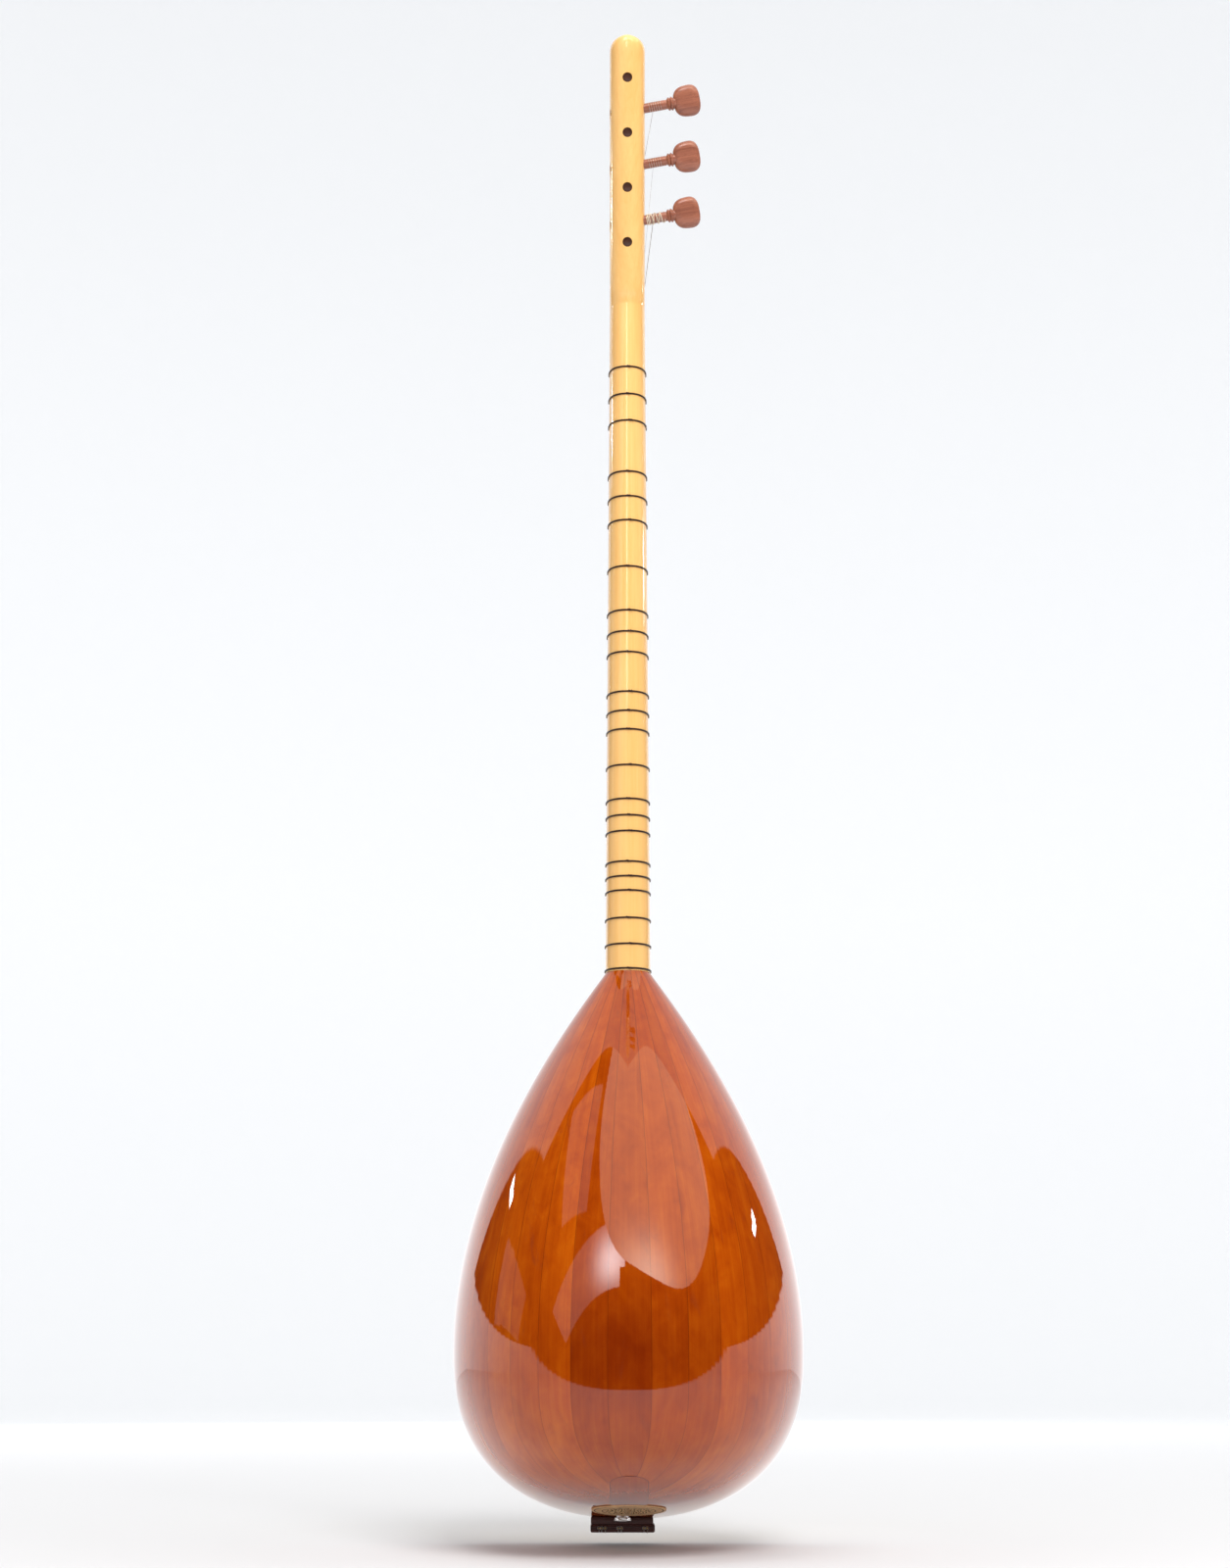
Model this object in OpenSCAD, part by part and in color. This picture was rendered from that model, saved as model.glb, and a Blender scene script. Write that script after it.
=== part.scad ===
// Long-necked lute (baglama saz) built as separate pieces, in millimetres.
// +Z runs along the neck towards the head, the strings and the soundboard face -Y and
// the back of the bowl faces +Y. The origin is the tail edge of the bowl's rim.

/* [Bowl] */
// Length of the bowl from its tail edge to the neck joint
bowl_len = 421; // [405:1:430]
// Greatest width of the bowl
bowl_w = 270; // [250:2:284]
// Greatest depth of the bowl behind its rim
bowl_depth = 215; // [200:5:230]
// Thickness of each stave
stave_t = 3; // [2.6:0.2:3.4]
// Thickness of the soundboard
board_t = 3; // [2.6:0.2:3.4]

/* [Neck] */
// Length of the neck from the bowl to the nut
neck_len = 552; // [548:1:556]
// Width of the neck at the bowl
neck_w_body = 36; // [34:0.5:38]
// Width of the neck at the nut
neck_w_nut = 29.5; // [28:0.5:31]
// Depth of the rounded back of the neck at the bowl
neck_d_body = 26; // [24:0.5:28]
// Depth of the rounded back of the neck at the nut
neck_d_nut = 21.5; // [20:0.5:23]

/* [Strings] */
// Sounding length of the strings, from the nut to the bridge
scale_len = 880; // [876:1:884]
// Height of the strings over the neck at the nut
action_nut = 1.8; // [1.6:0.1:2.2]
// Height of the strings over the soundboard at the bridge
action_bridge = 8; // [7.5:0.5:9]

/* [Head] */
// Length of the head from the nut to its tip
head_len = 227; // [222:1:232]
// Backward tilt of the head, in degrees
head_tilt = 15; // [12:1:16]
// Thickness of the head
head_t = 22; // [21:0.5:23]
// Radius of the tuning pegs' shafts
peg_r = 4; // [3.8:0.1:4.2]

/* [Tail] */
// Diameter of the pierced rosette over the sound hole
rosette_d = 56; // [54:1:57]
// Width of the tailpiece
tailpiece_w = 49; // [46:1:52]

/* [Hidden] */
STAVES = 17;
PAIRS = (STAVES - 1) / 2;
// Semitones above the open string at which the frets are tied; halves stand for neutral tones
FRET_STEPS = [1, 1.5, 2, 3, 3.5, 4, 5, 6, 6.5, 7, 8, 8.5, 9, 10, 11, 11.5, 12, 13, 13.5, 14, 15, 16, 17];
function two_digits(n) = n < 10 ? str("0", n) : str(n);
FRET_NAMES = [for (i = [1:len(FRET_STEPS)]) str("fret_", two_digits(i))];
PAIR_NAMES = [for (i = [1:PAIRS]) str("stave_pair_", i)];
FRONT_PEG_NAMES = [for (i = [1:4]) str("front_peg_", i)];
SIDE_PEG_NAMES = [for (i = [1:3]) str("side_peg_", i)];

// Colours
LACQUER = "#b5541a";
LACQUER_DARK = "#9a4414";
MAPLE = "#f0c470";
SPRUCE = "#e6cfa0";
WALNUT = "#3b1812";
PEGWOOD = "#9c4a34";
STEEL = "#c8c8cc";

// Bowl: the widest and deepest section, and the exponents of its outline and back profile
wide_z = 130;
section_e = 2 / 2.2;
section_m = 2.2;
function arch(t, p, q) = pow(max(0, 1 - pow(max(0, t), p)), q);
function up_share(z) = (z - wide_z) / (bowl_len - wide_z);
function half_w(z) = z < wide_z
    ? bowl_w / 2 * arch(1 - z / wide_z, 2.47, 0.46)
    : neck_w_body / 2 + (bowl_w - neck_w_body) / 2 * arch(up_share(z), 1.9, 1.01);
function depth(z) = z < wide_z
    ? bowl_depth * arch(1 - z / wide_z, 4.3, 1)
    : neck_d_body + (bowl_depth - neck_d_body) * arch(up_share(z), 1.8, 1.15);
function signed_pow(v, e) = sign(v) * pow(abs(v), e);
// One point of the rounded section with half width w and depth d, at angle a from the back
function section_xy(w, d, a) = [w * signed_pow(sin(a), section_e), d * signed_pow(cos(a), section_e)];
// How far a point is inside (below 1) or outside (over 1) the section at height z
function fill(x, y, z) = pow(abs(x) / half_w(z), section_m) + pow(max(0, y) / depth(z), section_m);
// Height of the bowl's underside over a point of the rim plane, by halving
function under_z(x, y, lo = 0.001, hi = 130, n = 26) = n == 0 ? (lo + hi) / 2
    : fill(x, y, (lo + hi) / 2) > 1 ? under_z(x, y, (lo + hi) / 2, hi, n - 1)
    : under_z(x, y, lo, (lo + hi) / 2, n - 1);
function unit(v) = v / norm(v);
// Outward normal of the bowl, from how fill() changes
step = 0.05;
function grad(p) = [
    fill(p.x + step, p.y, p.z) - fill(p.x - step, p.y, p.z),
    p.y < step ? 0 : fill(p.x, p.y + step, p.z) - fill(p.x, p.y - step, p.z),
    fill(p.x, p.y, min(bowl_len, p.z + step)) - fill(p.x, p.y, max(0.001, p.z - step))];
function moved_out(p, t) = p + t * unit(grad(p));

// Stave joints: fan lines across the underside to the tail's centre line, then up to the neck
cap_reach = 158;
fan_start = 0.08;
LOW_ROWS = 10;
TOP_ROWS = 11;
function joint_low(v, rho) = let (
        rim = section_xy(bowl_w / 2, bowl_depth, 90 * v),
        pole = [0, cap_reach * (1 - abs(v))],
        q = pole + (rim - pole) * rho)
    [q.x, q.y, rho > 0.9999 ? wide_z : under_z(q.x, q.y)];
function joint_top(v, z) = let (q = section_xy(half_w(z), depth(z), 90 * v)) [q.x, q.y, z];
function joint_line(v) = concat(
    [for (i = [0:LOW_ROWS - 1]) joint_low(v, fan_start + (1 - fan_start) * sin(90 * i / LOW_ROWS))],
    [for (i = [0:TOP_ROWS]) joint_top(v, wide_z + (bowl_len - wide_z) * i / TOP_ROWS)]);

// Closed shell between an outer and an inner grid of the same rows and columns
module grid_shell(outer, inner) {
    rows = len(outer);
    cols = len(outer[0]);
    size = rows * cols;
    function id(s, r, c) = s * size + r * cols + c;
    faces = concat(
        [for (r = [0:rows - 2]) for (c = [0:cols - 2])
            each [[id(0, r, c), id(0, r + 1, c), id(0, r + 1, c + 1)],
                [id(0, r, c), id(0, r + 1, c + 1), id(0, r, c + 1)],
                [id(1, r, c), id(1, r + 1, c + 1), id(1, r + 1, c)],
                [id(1, r, c), id(1, r, c + 1), id(1, r + 1, c + 1)]]],
        [for (r = [0:rows - 2])
            each [[id(0, r, 0), id(1, r, 0), id(1, r + 1, 0)],
                [id(0, r, 0), id(1, r + 1, 0), id(0, r + 1, 0)],
                [id(0, r, cols - 1), id(1, r + 1, cols - 1), id(1, r, cols - 1)],
                [id(0, r, cols - 1), id(0, r + 1, cols - 1), id(1, r + 1, cols - 1)]]],
        [for (c = [0:cols - 2])
            each [[id(0, 0, c), id(1, 0, c + 1), id(1, 0, c)],
                [id(0, 0, c), id(0, 0, c + 1), id(1, 0, c + 1)],
                [id(0, rows - 1, c), id(1, rows - 1, c), id(1, rows - 1, c + 1)],
                [id(0, rows - 1, c), id(1, rows - 1, c + 1), id(0, rows - 1, c + 1)]]]);
    polyhedron([each for (row = outer) row, each for (row = inner) row], faces);
}
function flip(grid) = [for (row = grid) [for (i = [len(row) - 1:-1:0]) row[i]]];
function transposed(lines) = [for (r = [0:len(lines[0]) - 1]) [for (l = lines) l[r]]];
function pushed(grid, t) = [for (row = grid) [for (p = row) moved_out(p, t)]];

// Tail: a frame whose -Z is the outward normal of the bowl on its centre line at depth y
function tail_lean(y) = atan((under_z(0, y + 1) - under_z(0, y - 1)) / 2);
module on_tail(x, y) {
    translate([x, y, under_z(0, y)])
        rotate([tail_lean(y), 0, 0])
            children();
}
tail_x = 4.5;
tailpiece_front = -5.5;
tailpiece_back = 22;
tailpiece_low = -8.5;
jack_y = tailpiece_back + 7.6;
jack_nut_r = 6.7;
rosette_y = jack_y + jack_nut_r + 0.8 + rosette_d / 2;
sound_hole_r = 20;
TWELVE = 12;

module stave(k) {
    lines = [for (i = [0:2]) joint_line(-1 + 2 * (k + i / 2) / STAVES)];
    outer = transposed(lines);
    difference() {
        grid_shell(outer, pushed(outer, -stave_t));
        on_tail(0, rosette_y) cylinder(r = sound_hole_r, h = 30, center = true, $fn = TWELVE);
    }
}
module stave_centre() {
    color(LACQUER) stave(PAIRS);
}
module stave_pair(i) {
    color(i % 2 == 0 ? LACQUER : LACQUER_DARK) {
        stave(PAIRS - i);
        stave(PAIRS + i);
    }
}

// The rim outline, moved in by d along its own normal
RIM_STEPS = 44;
function rim_z(i) = max(0.02, bowl_len * pow(i / RIM_STEPS, 1.8));
function rim_slope(z) = (half_w(min(bowl_len, z + step / 10)) - half_w(max(0.001, z - step / 10)))
    / (min(bowl_len, z + step / 10) - max(0.001, z - step / 10));
function rim_point(z, d) = [half_w(z), z] + d * [-1, rim_slope(z)] / sqrt(1 + pow(rim_slope(z), 2));
function rim_side(d) = [for (i = [0:RIM_STEPS - 1]) rim_point(rim_z(i), d)];
function mirrored(points) = [for (i = [len(points) - 1:-1:0]) [-points[i].x, points[i].y]];
// Rim outline closed by a straight top edge at the neck joint
function rim_outline(d) = concat(
    [for (p = rim_side(d)) if (p.x > 0.4) p],
    [[neck_w_body / 2 - d, bowl_len], [-(neck_w_body / 2 - d), bowl_len]],
    [for (p = mirrored(rim_side(d))) if (p.x < -0.4) p]);
// Plate drawn in X and Z, between two depths in Y
module plate(y_front, y_back) {
    translate([0, y_back, 0])
        rotate([90, 0, 0])
            linear_extrude(height = y_back - y_front)
                children();
}
binding_w = 2;
module soundboard() {
    color(SPRUCE) plate(-board_t, 0) polygon(rim_outline(binding_w + 0.05));
}
module edge_binding() {
    color(WALNUT) plate(-board_t, 0) difference() {
        polygon(rim_outline(0));
        polygon(rim_outline(binding_w));
        // the strip stops short of the neck joint, where the board meets the neck
        translate([-neck_w_body / 2, bowl_len - 1]) square([neck_w_body, 2]);
    }
}

// Neck: the same rounded back as the bowl's top end, with straight sides up to the front
SECTION_STEPS = 20;
function neck_section(w, d, grow = 0) = concat(
    [[w + grow, -board_t - grow]],
    [for (i = [0:SECTION_STEPS]) section_xy(w + grow, d + grow, 90 - 180 * i / SECTION_STEPS)],
    [[-w - grow, -board_t - grow]]);
nut_z = bowl_len + neck_len;
bridge_z = nut_z - scale_len;
neck_top = nut_z + 6;
function neck_share(z) = (z - bowl_len) / neck_len;
function neck_half(z) = (neck_w_body + (neck_w_nut - neck_w_body) * neck_share(z)) / 2;
function neck_depth(z) = neck_d_body + (neck_d_nut - neck_d_body) * neck_share(z);
module neck_slice(z, h) {
    translate([0, 0, z]) linear_extrude(height = h) polygon(neck_section(neck_half(z), neck_depth(z)));
}
tenon = [12, 14, 30];
tenon_y = 3;
slice_h = 0.01;
module neck() {
    color(MAPLE) union() {
        hull() {
            neck_slice(bowl_len, slice_h);
            neck_slice(neck_top - slice_h, slice_h);
        }
        translate([-tenon.x / 2, tenon_y, bowl_len - tenon.z])
            cube([tenon.x, tenon.y, tenon.z + 1]);
    }
}
block_gap = stave_t + 1.3;
neck_block_len = 46;
module block_slice(z) {
    translate([0, 0, z])
        linear_extrude(height = slice_h)
            intersection() {
                polygon(neck_section(half_w(z) - 1.25 * block_gap, depth(z) - 1.25 * block_gap));
                translate([-100, 0.2]) square([200, 200]);
            }
}
module neck_block() {
    fit = 0.1;
    color(SPRUCE) difference() {
        hull() {
            block_slice(bowl_len - neck_block_len);
            block_slice(bowl_len - 1);
        }
        translate([-tenon.x / 2 - fit, tenon_y - fit, bowl_len - tenon.z - fit])
            cube([tenon.x + 2 * fit, tenon.y + 2 * fit, tenon.z + 5]);
    }
}

// Head: local Z runs up the head, local Y = 0 is its front face
module on_head() {
    translate([0, neck_depth(neck_top), neck_top])
        rotate([-head_tilt, 0, 0])
            translate([0, -head_t, -(neck_top - nut_z)])
                children();
}
head_half = neck_w_nut / 2 - 0.1;
head_edge_r = 3;
head_flat = 5;
CORNER_STEPS = 5;
head_section = concat(
    [for (i = [0:CORNER_STEPS]) let (a = 90 * i / CORNER_STEPS)
        [head_half - head_edge_r + head_edge_r * sin(a), head_edge_r - head_edge_r * cos(a)]],
    [for (i = [0:SECTION_STEPS])
        section_xy(head_half, head_t - head_flat, 90 - 180 * i / SECTION_STEPS) + [0, head_flat]],
    [for (i = [CORNER_STEPS:-1:0]) let (a = 90 * i / CORNER_STEPS)
        [-head_half + head_edge_r - head_edge_r * sin(a), head_edge_r - head_edge_r * cos(a)]]);
peg_fit = 0.05;
front_peg_first = 56.5;
front_peg_pitch = 44.9;
side_peg_first = 76;
side_peg_pitch = 46;
side_peg_rise = 10;
side_peg_depth = 9;
peg_tip_gap = 1;
function front_peg_s(i) = front_peg_first + front_peg_pitch * i;
function side_peg_s(i) = side_peg_first + side_peg_pitch * i;
// A front peg's frame: local +Z points out of the head's front face
module at_front_peg(i) {
    on_head() translate([0, 0, front_peg_s(i)]) rotate([90, 0, 0]) children();
}
// A side peg's frame: local +Z points out of the head's side and rises towards the tip
module at_side_peg(i) {
    on_head()
        translate([-head_half, side_peg_depth, side_peg_s(i)])
            rotate([0, -90 + side_peg_rise, 0])
                children();
}
module headstock() {
    bore_r = peg_r + peg_fit;
    color(MAPLE) difference() {
        on_head() intersection() {
            translate([0, 0, -30]) linear_extrude(height = head_len + 30) polygon(head_section);
            translate([0, head_t + 1, 0]) rotate([90, 0, 0]) linear_extrude(height = head_t + 2) union() {
                translate([-head_half, -30]) square([2 * head_half, head_len + 30 - head_half]);
                translate([0, head_len - head_half]) circle(r = head_half, $fn = 64);
            }
        }
        translate([-50, -50, nut_z - 60]) cube([100, 100, neck_top - nut_z + 60]);
        for (i = [0:3]) at_front_peg(i) translate([0, 0, -head_t - 5])
            cylinder(r = bore_r, h = head_t + 10, $fn = 48);
        for (i = [0:2]) at_side_peg(i) translate([0, 0, -2 * head_half - 6])
            cylinder(r = bore_r, h = 2 * head_half + 12, $fn = 48);
    }
}

// Tuning peg: local Z = 0 is where the shaft leaves the wood, `inside` is its length within it
peg_out = 20;
bead_r = 6;
peg_head_len = 22.5;
peg_head_half = 13;
peg_head_t = 11;
PEG_STEPS = 28;
peg_head_outline = [for (i = [0:PEG_STEPS - 1]) let (a = 360 * i / PEG_STEPS)
    [(peg_head_half - 1.5 * cos(a)) * signed_pow(sin(a), 0.72),
        peg_head_len / 2 * (1 - signed_pow(cos(a), 0.72))]];
module peg(inside) {
    color(PEGWOOD) union() {
        translate([0, 0, -inside]) cylinder(r = peg_r, h = inside + peg_out + 4, $fn = 48);
        translate([0, 0, peg_out]) cylinder(r1 = peg_r, r2 = bead_r, h = 1, $fn = 48);
        translate([0, 0, peg_out + 1]) cylinder(r = bead_r, h = 1.6, $fn = 48);
        translate([0, 0, peg_out + 3.2]) cylinder(r = bead_r - 0.6, h = 1.8, $fn = 48);
        translate([0, peg_head_t / 2, peg_out + 4])
            rotate([90, 0, 0])
                linear_extrude(height = peg_head_t)
                    polygon(peg_head_outline);
    }
}
module front_peg(i) {
    at_front_peg(i) rotate([0, 0, 90]) peg(head_t - peg_tip_gap);
}
module side_peg(i) {
    at_side_peg(i) peg(2 * head_half / cos(side_peg_rise) - peg_tip_gap);
}

// Strings, outermost first on each course: X at the nut, the bridge and the tail, and radius
STRINGS = [
    [11.5, 17.5, 22.5, 0.10], [10, 15.8, 20.5, 0.10], [8.5, 14, 17.7, 0.22],
    [0.9, 1.2, 7.9, 0.15], [-0.9, -1.2, 5.5, 0.15],
    [-9.6, -15.6, -11.7, 0.10], [-11.4, -17.4, -14.1, 0.22]];
function nut_y() = -board_t - action_nut;
function bridge_y() = -board_t - action_bridge;
nut_len = 4.5;
module nut() {
    floor_gap = 0.25;
    color("ivory") difference() {
        translate([-head_half, -board_t - action_nut - 0.7, nut_z])
            cube([2 * head_half, action_nut + 0.7, nut_len]);
        for (s = STRINGS)
            translate([s[0] - s[3] - 0.1, nut_y() - 5, nut_z - 1])
                cube([2 * s[3] + 0.2, 5 + s[3] + floor_gap, nut_len + 2]);
    }
}
bridge_len = 5;
bridge_half = 25;
bridge_travel = 3;
// How far a string moves sideways from the bridge's middle to its lower face at the end of its travel
function drift(s) = (s[2] - s[1]) / bridge_z * (bridge_len / 2 + bridge_travel);
module bridge() {
    floor_gap = 0.5;
    side_gap = 0.15;
    top = action_bridge + 0.8;
    foot = 2.2;
    color(WALNUT) difference() {
        translate([0, 0, bridge_z - bridge_len / 2])
            linear_extrude(height = bridge_len)
                polygon([
                    [-bridge_half, -board_t], [-bridge_half, -board_t - 3], [-20.5, -board_t - top],
                    [20.5, -board_t - top], [bridge_half, -board_t - 3], [bridge_half, -board_t],
                    [15, -board_t], [11, -board_t - foot], [-11, -board_t - foot], [-15, -board_t]]);
        for (s = STRINGS)
            translate([s[1] - s[3] - side_gap + min(0, drift(s)), bridge_y() - 5, bridge_z - bridge_len])
                cube([2 * (s[3] + side_gap) + abs(drift(s)), 5 + s[3] + floor_gap, 2 * bridge_len]);
    }
}

// Points on the head, from its own x, height over the front face and distance up the head
function head_point(x, h, s) = let (
        y = -head_t - h,
        z = s - (neck_top - nut_z))
    [x, neck_depth(neck_top) + y * cos(head_tilt) + z * sin(head_tilt),
        neck_top - y * sin(head_tilt) + z * cos(head_tilt)];
coil_r = 0.5;
coil_from = 5;
coil_len = 5;
// Where each string reaches its peg: beside a front peg's shaft, or before a side peg's shaft
function at_peg(n) = n < 4
    ? let (i = n == 3 ? 0 : 3 - n)
        [head_point(peg_r + coil_r + 0.1, coil_from + 2, front_peg_s(i) - 1)]
    : let (i = 6 - n, x = -head_half - coil_from - 2, h = peg_r + coil_r + 0.35 - side_peg_depth,
            s = side_peg_s(i) + (coil_from + 2) * tan(side_peg_rise) - 1)
        n == 4 ? [head_point(-12.4, 0.5, 118), head_point(x, h, s)] : [head_point(x, h, s)];
function string_route(n) = let (s = STRINGS[n], r = s[3], gap = 0.3 + r) concat(
    [[s[2], tailpiece_back + gap, tailpiece_low + 2.2], [s[2], tailpiece_back + gap, tailpiece_low - gap],
     [s[2], tailpiece_front - gap, tailpiece_low - gap], [s[2], tailpiece_front - gap, -1.5],
     [s[1], bridge_y(), bridge_z], [s[0], nut_y(), nut_z], [s[0], nut_y(), nut_z + nut_len]],
    at_peg(n));
STRING_SIDES = 6;
// Ring of points square to the route at its point i
function ring(route, i, r) = let (
        back = i == 0 ? [0, 0, 0] : unit(route[i] - route[i - 1]),
        ahead = i == len(route) - 1 ? [0, 0, 0] : unit(route[i + 1] - route[i]),
        along = unit(back + ahead),
        side = unit(cross(along, [1, 0.02, 0.03])),
        up = cross(side, along),
        widen = i == 0 || i == len(route) - 1 ? 1 : 1 / max(0.6, sqrt((1 + back * ahead) / 2)))
    [for (k = [0:STRING_SIDES - 1]) route[i]
        + r * (side * widen * cos(360 * k / STRING_SIDES) + up * sin(360 * k / STRING_SIDES))];
module tube(route, r) {
    rings = len(route);
    points = [for (i = [0:rings - 1]) each ring(route, i, r)];
    faces = concat(
        [[for (k = [STRING_SIDES - 1:-1:0]) k]],
        [for (i = [0:rings - 2]) for (k = [0:STRING_SIDES - 1]) let (
                a = i * STRING_SIDES + k,
                b = i * STRING_SIDES + (k + 1) % STRING_SIDES)
            each [[a, b, b + STRING_SIDES], [a, b + STRING_SIDES, a + STRING_SIDES]]],
        [[for (k = [0:STRING_SIDES - 1]) (rings - 1) * STRING_SIDES + k]]);
    polyhedron(points, faces);
}
module coil() {
    translate([0, 0, coil_from - 0.5])
        difference() {
            cylinder(r = peg_r + 0.06 + coil_r, h = coil_len, $fn = 48);
            translate([0, 0, -1]) cylinder(r = peg_r + 0.06, h = coil_len + 2, $fn = 48);
        }
}
module string(n) {
    tube(string_route(n), STRINGS[n][3]);
    if (n < 4) {
        at_front_peg(n == 3 ? 0 : 3 - n) coil();
    } else {
        at_side_peg(6 - n) coil();
    }
}
module strings(first, last) {
    color(STEEL) for (n = [first:last]) string(n);
}

// Tied fret: a band round the neck, sized for the neck where it sits
fret_t = 0.8;
fret_w = 1.5;
fret_fit = 0.08;
function fret_z(i) = nut_z - scale_len * (1 - pow(2, -FRET_STEPS[i] / 12));
module fret(i) {
    z = fret_z(i);
    color("#2a1712") translate([0, 0, z - fret_w / 2]) linear_extrude(height = fret_w) difference() {
        polygon(neck_section(neck_half(z), neck_depth(z), fret_fit + fret_t));
        polygon(neck_section(neck_half(z), neck_depth(z), fret_fit));
    }
}

// Tail pieces
cap_half = 14;
cap_gap = 0.35;
cap_t = 1.1;
CAP_ROWS = 13;
cap_top = cap_reach + cap_half;
function cap_width(y) = y < cap_reach ? cap_half
    : sqrt(max(1, pow(cap_half, 2) - pow(y - cap_reach, 2)));
function cap_row(y) = [for (c = [-2:2]) let (x = cap_width(y) * c / 2) [x, y, under_z(x, y)]];
module tail_cap() {
    grid = [for (i = [0:CAP_ROWS]) cap_row(1.5 + (cap_top - 1.5) * sin(90 * i / CAP_ROWS))];
    color(LACQUER_DARK) difference() {
        grid_shell(pushed(flip(grid), cap_gap + cap_t), pushed(flip(grid), cap_gap));
        on_tail(0, rosette_y)
            cylinder(r = (rosette_d / 2 + 0.3) / cos(180 / TWELVE), h = 30, center = true, $fn = TWELVE);
        on_tail(tail_x, jack_y) cylinder(r = 5.4, h = 16, center = true, $fn = TWELVE);
        // the strip is notched where the tailpiece covers it
        translate([-50, -10, -20]) cube([100, 10 + tailpiece_back + 0.3, 40]);
    }
}
PETALS = 8;
rosette_t = 1.6;
module petal(r_in, r_out, half) {
    polygon([[r_in, 0], [(r_in * 2 + r_out) / 3, half * 0.8], [(r_in + r_out * 2) / 3, half],
        [r_out, 0], [(r_in + r_out * 2) / 3, -half], [(r_in * 2 + r_out) / 3, -half * 0.8]]);
}
module tail_rosette() {
    color("#cfa468") on_tail(0, rosette_y)
        translate([0, 0, -cap_gap - rosette_t])
            difference() {
                cylinder(r = rosette_d / 2, h = rosette_t, $fn = 96);
                translate([0, 0, -1]) linear_extrude(height = rosette_t + 2) for (i = [0:PETALS - 1]) {
                    rotate(360 * i / PETALS) petal(3, 11, 1.9);
                    rotate(360 * (i + 0.5) / PETALS) petal(9, 18, 2.6);
                }
            }
}
pin_r = 0.7;
pin_fit = 0.05;
module tailpiece() {
    color(WALNUT) difference() {
        translate([tail_x - tailpiece_w / 2, 0, 0])
            rotate([90, 0, 90])
                linear_extrude(height = tailpiece_w)
                    polygon([
                        [tailpiece_front, tailpiece_low], [tailpiece_back, tailpiece_low],
                        [tailpiece_back, under_z(0, tailpiece_back) - 0.5], [0, -0.3],
                        [tailpiece_front, -1.2]]);
        for (s = STRINGS) pin_hole(s[2]);
    }
}
pin_z = tailpiece_low + 3.4;
pin_in = 6;
module pin_hole(x) {
    translate([x, tailpiece_back + 1, pin_z])
        rotate([90, 0, 0])
            cylinder(r = pin_r + pin_fit, h = pin_in + 1.1, $fn = 24);
}
module hitch_pins() {
    color("gold") for (s = STRINGS)
        translate([s[2], tailpiece_back + 1.6, pin_z])
            rotate([90, 0, 0])
                cylinder(r = pin_r, h = pin_in + 1.6, $fn = 24);
}

// Inside pieces
module tail_block() {
    color(SPRUCE) difference() {
        on_tail(0, 21)
            translate([-21, -15, stave_t + 1.4])
                cube([42, 31, 15]);
        on_tail(tail_x, jack_y) cylinder(r = 5.4, h = 80, center = true, $fn = TWELVE);
        translate([-50, -20, -20]) cube([100, 20.5, 80]);
    }
}
lining_w = 6;
module side_linings() {
    near = stave_t + 0.6;
    stations = [for (i = [0:24]) 22 + (bowl_len - neck_block_len - 6 - 22) * i / 24];
    outer = [for (z = stations) rim_point(z, near)];
    inner = [for (z = stations) rim_point(z, near + lining_w)];
    side = concat(outer, [for (i = [len(inner) - 1:-1:0]) inner[i]]);
    color(SPRUCE) plate(0.15, lining_w) {
        polygon(side);
        mirror([1, 0]) polygon(side);
    }
}
brace_z = [185, 290];
module soundboard_braces() {
    for (z = brace_z) {
        half = rim_point(z, stave_t + lining_w + 3).x - 2;
        color(SPRUCE) translate([-half, 0.15, z - 4]) cube([2 * half, 10, 8]);
    }
}
jack_r = 4.75;
jack_bore_r = 3.2;
jack_proud = 4;
jack_bore_len = 22;
jack_inner = 24;
module jack_barrel() {
    color("silver") on_tail(tail_x, jack_y) translate([0, 0, -jack_proud]) difference() {
        cylinder(r = jack_r, h = jack_proud + jack_inner, $fn = 48);
        translate([0, 0, -1]) cylinder(r = jack_bore_r, h = jack_bore_len + 1, $fn = 48);
    }
}
module jack_nut() {
    washer_r = 6.3;
    color(STEEL) on_tail(tail_x, jack_y) difference() {
        union() {
            translate([0, 0, -2.4]) cylinder(r = washer_r, h = 0.8, $fn = 48);
            translate([0, 0, -3.8]) cylinder(r = jack_nut_r, h = 1.6, $fn = 6);
        }
        translate([0, 0, -10]) cylinder(r = jack_r + 0.05, h = 12, $fn = 48);
    }
}
pickup_x = 0;
module pickup_disc() {
    color("gold") translate([pickup_x, 0.75, bridge_z])
        rotate([90, 0, 0])
            cylinder(r = 10, h = 0.6, $fn = 48);
}
// The lead's route from the disc to the inner end of the jack
LEAD = [[0, 1.9, 93], [0, 4, 91], [0.5, 8, 86], [1.2, 13, 78], [2.2, 18, 68], [3.2, 22, 57],
    [4, 24.5, 46], [4.5, 25.6, 37], [4.5, 25.4, 29]];
module pickup_lead() {
    color("dimgray") tube(LEAD, 0.9);
}

soundboard();
edge_binding();
stave_centre();
for (i = [1:PAIRS]) stave_pair(i);
tail_cap();
tail_rosette();
tailpiece();
hitch_pins();
neck();
headstock();
nut();
neck_block();
tail_block();
soundboard_braces();
side_linings();
jack_barrel();
jack_nut();
pickup_disc();
pickup_lead();
strings(0, 2);  // strings_bottom_course
strings(3, 4);  // strings_middle_course
strings(5, 6);  // strings_top_course
bridge();
for (i = [0:3]) front_peg(i);
for (i = [0:2]) side_peg(i);
for (i = [0:len(FRET_STEPS) - 1]) fret(i);
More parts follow.
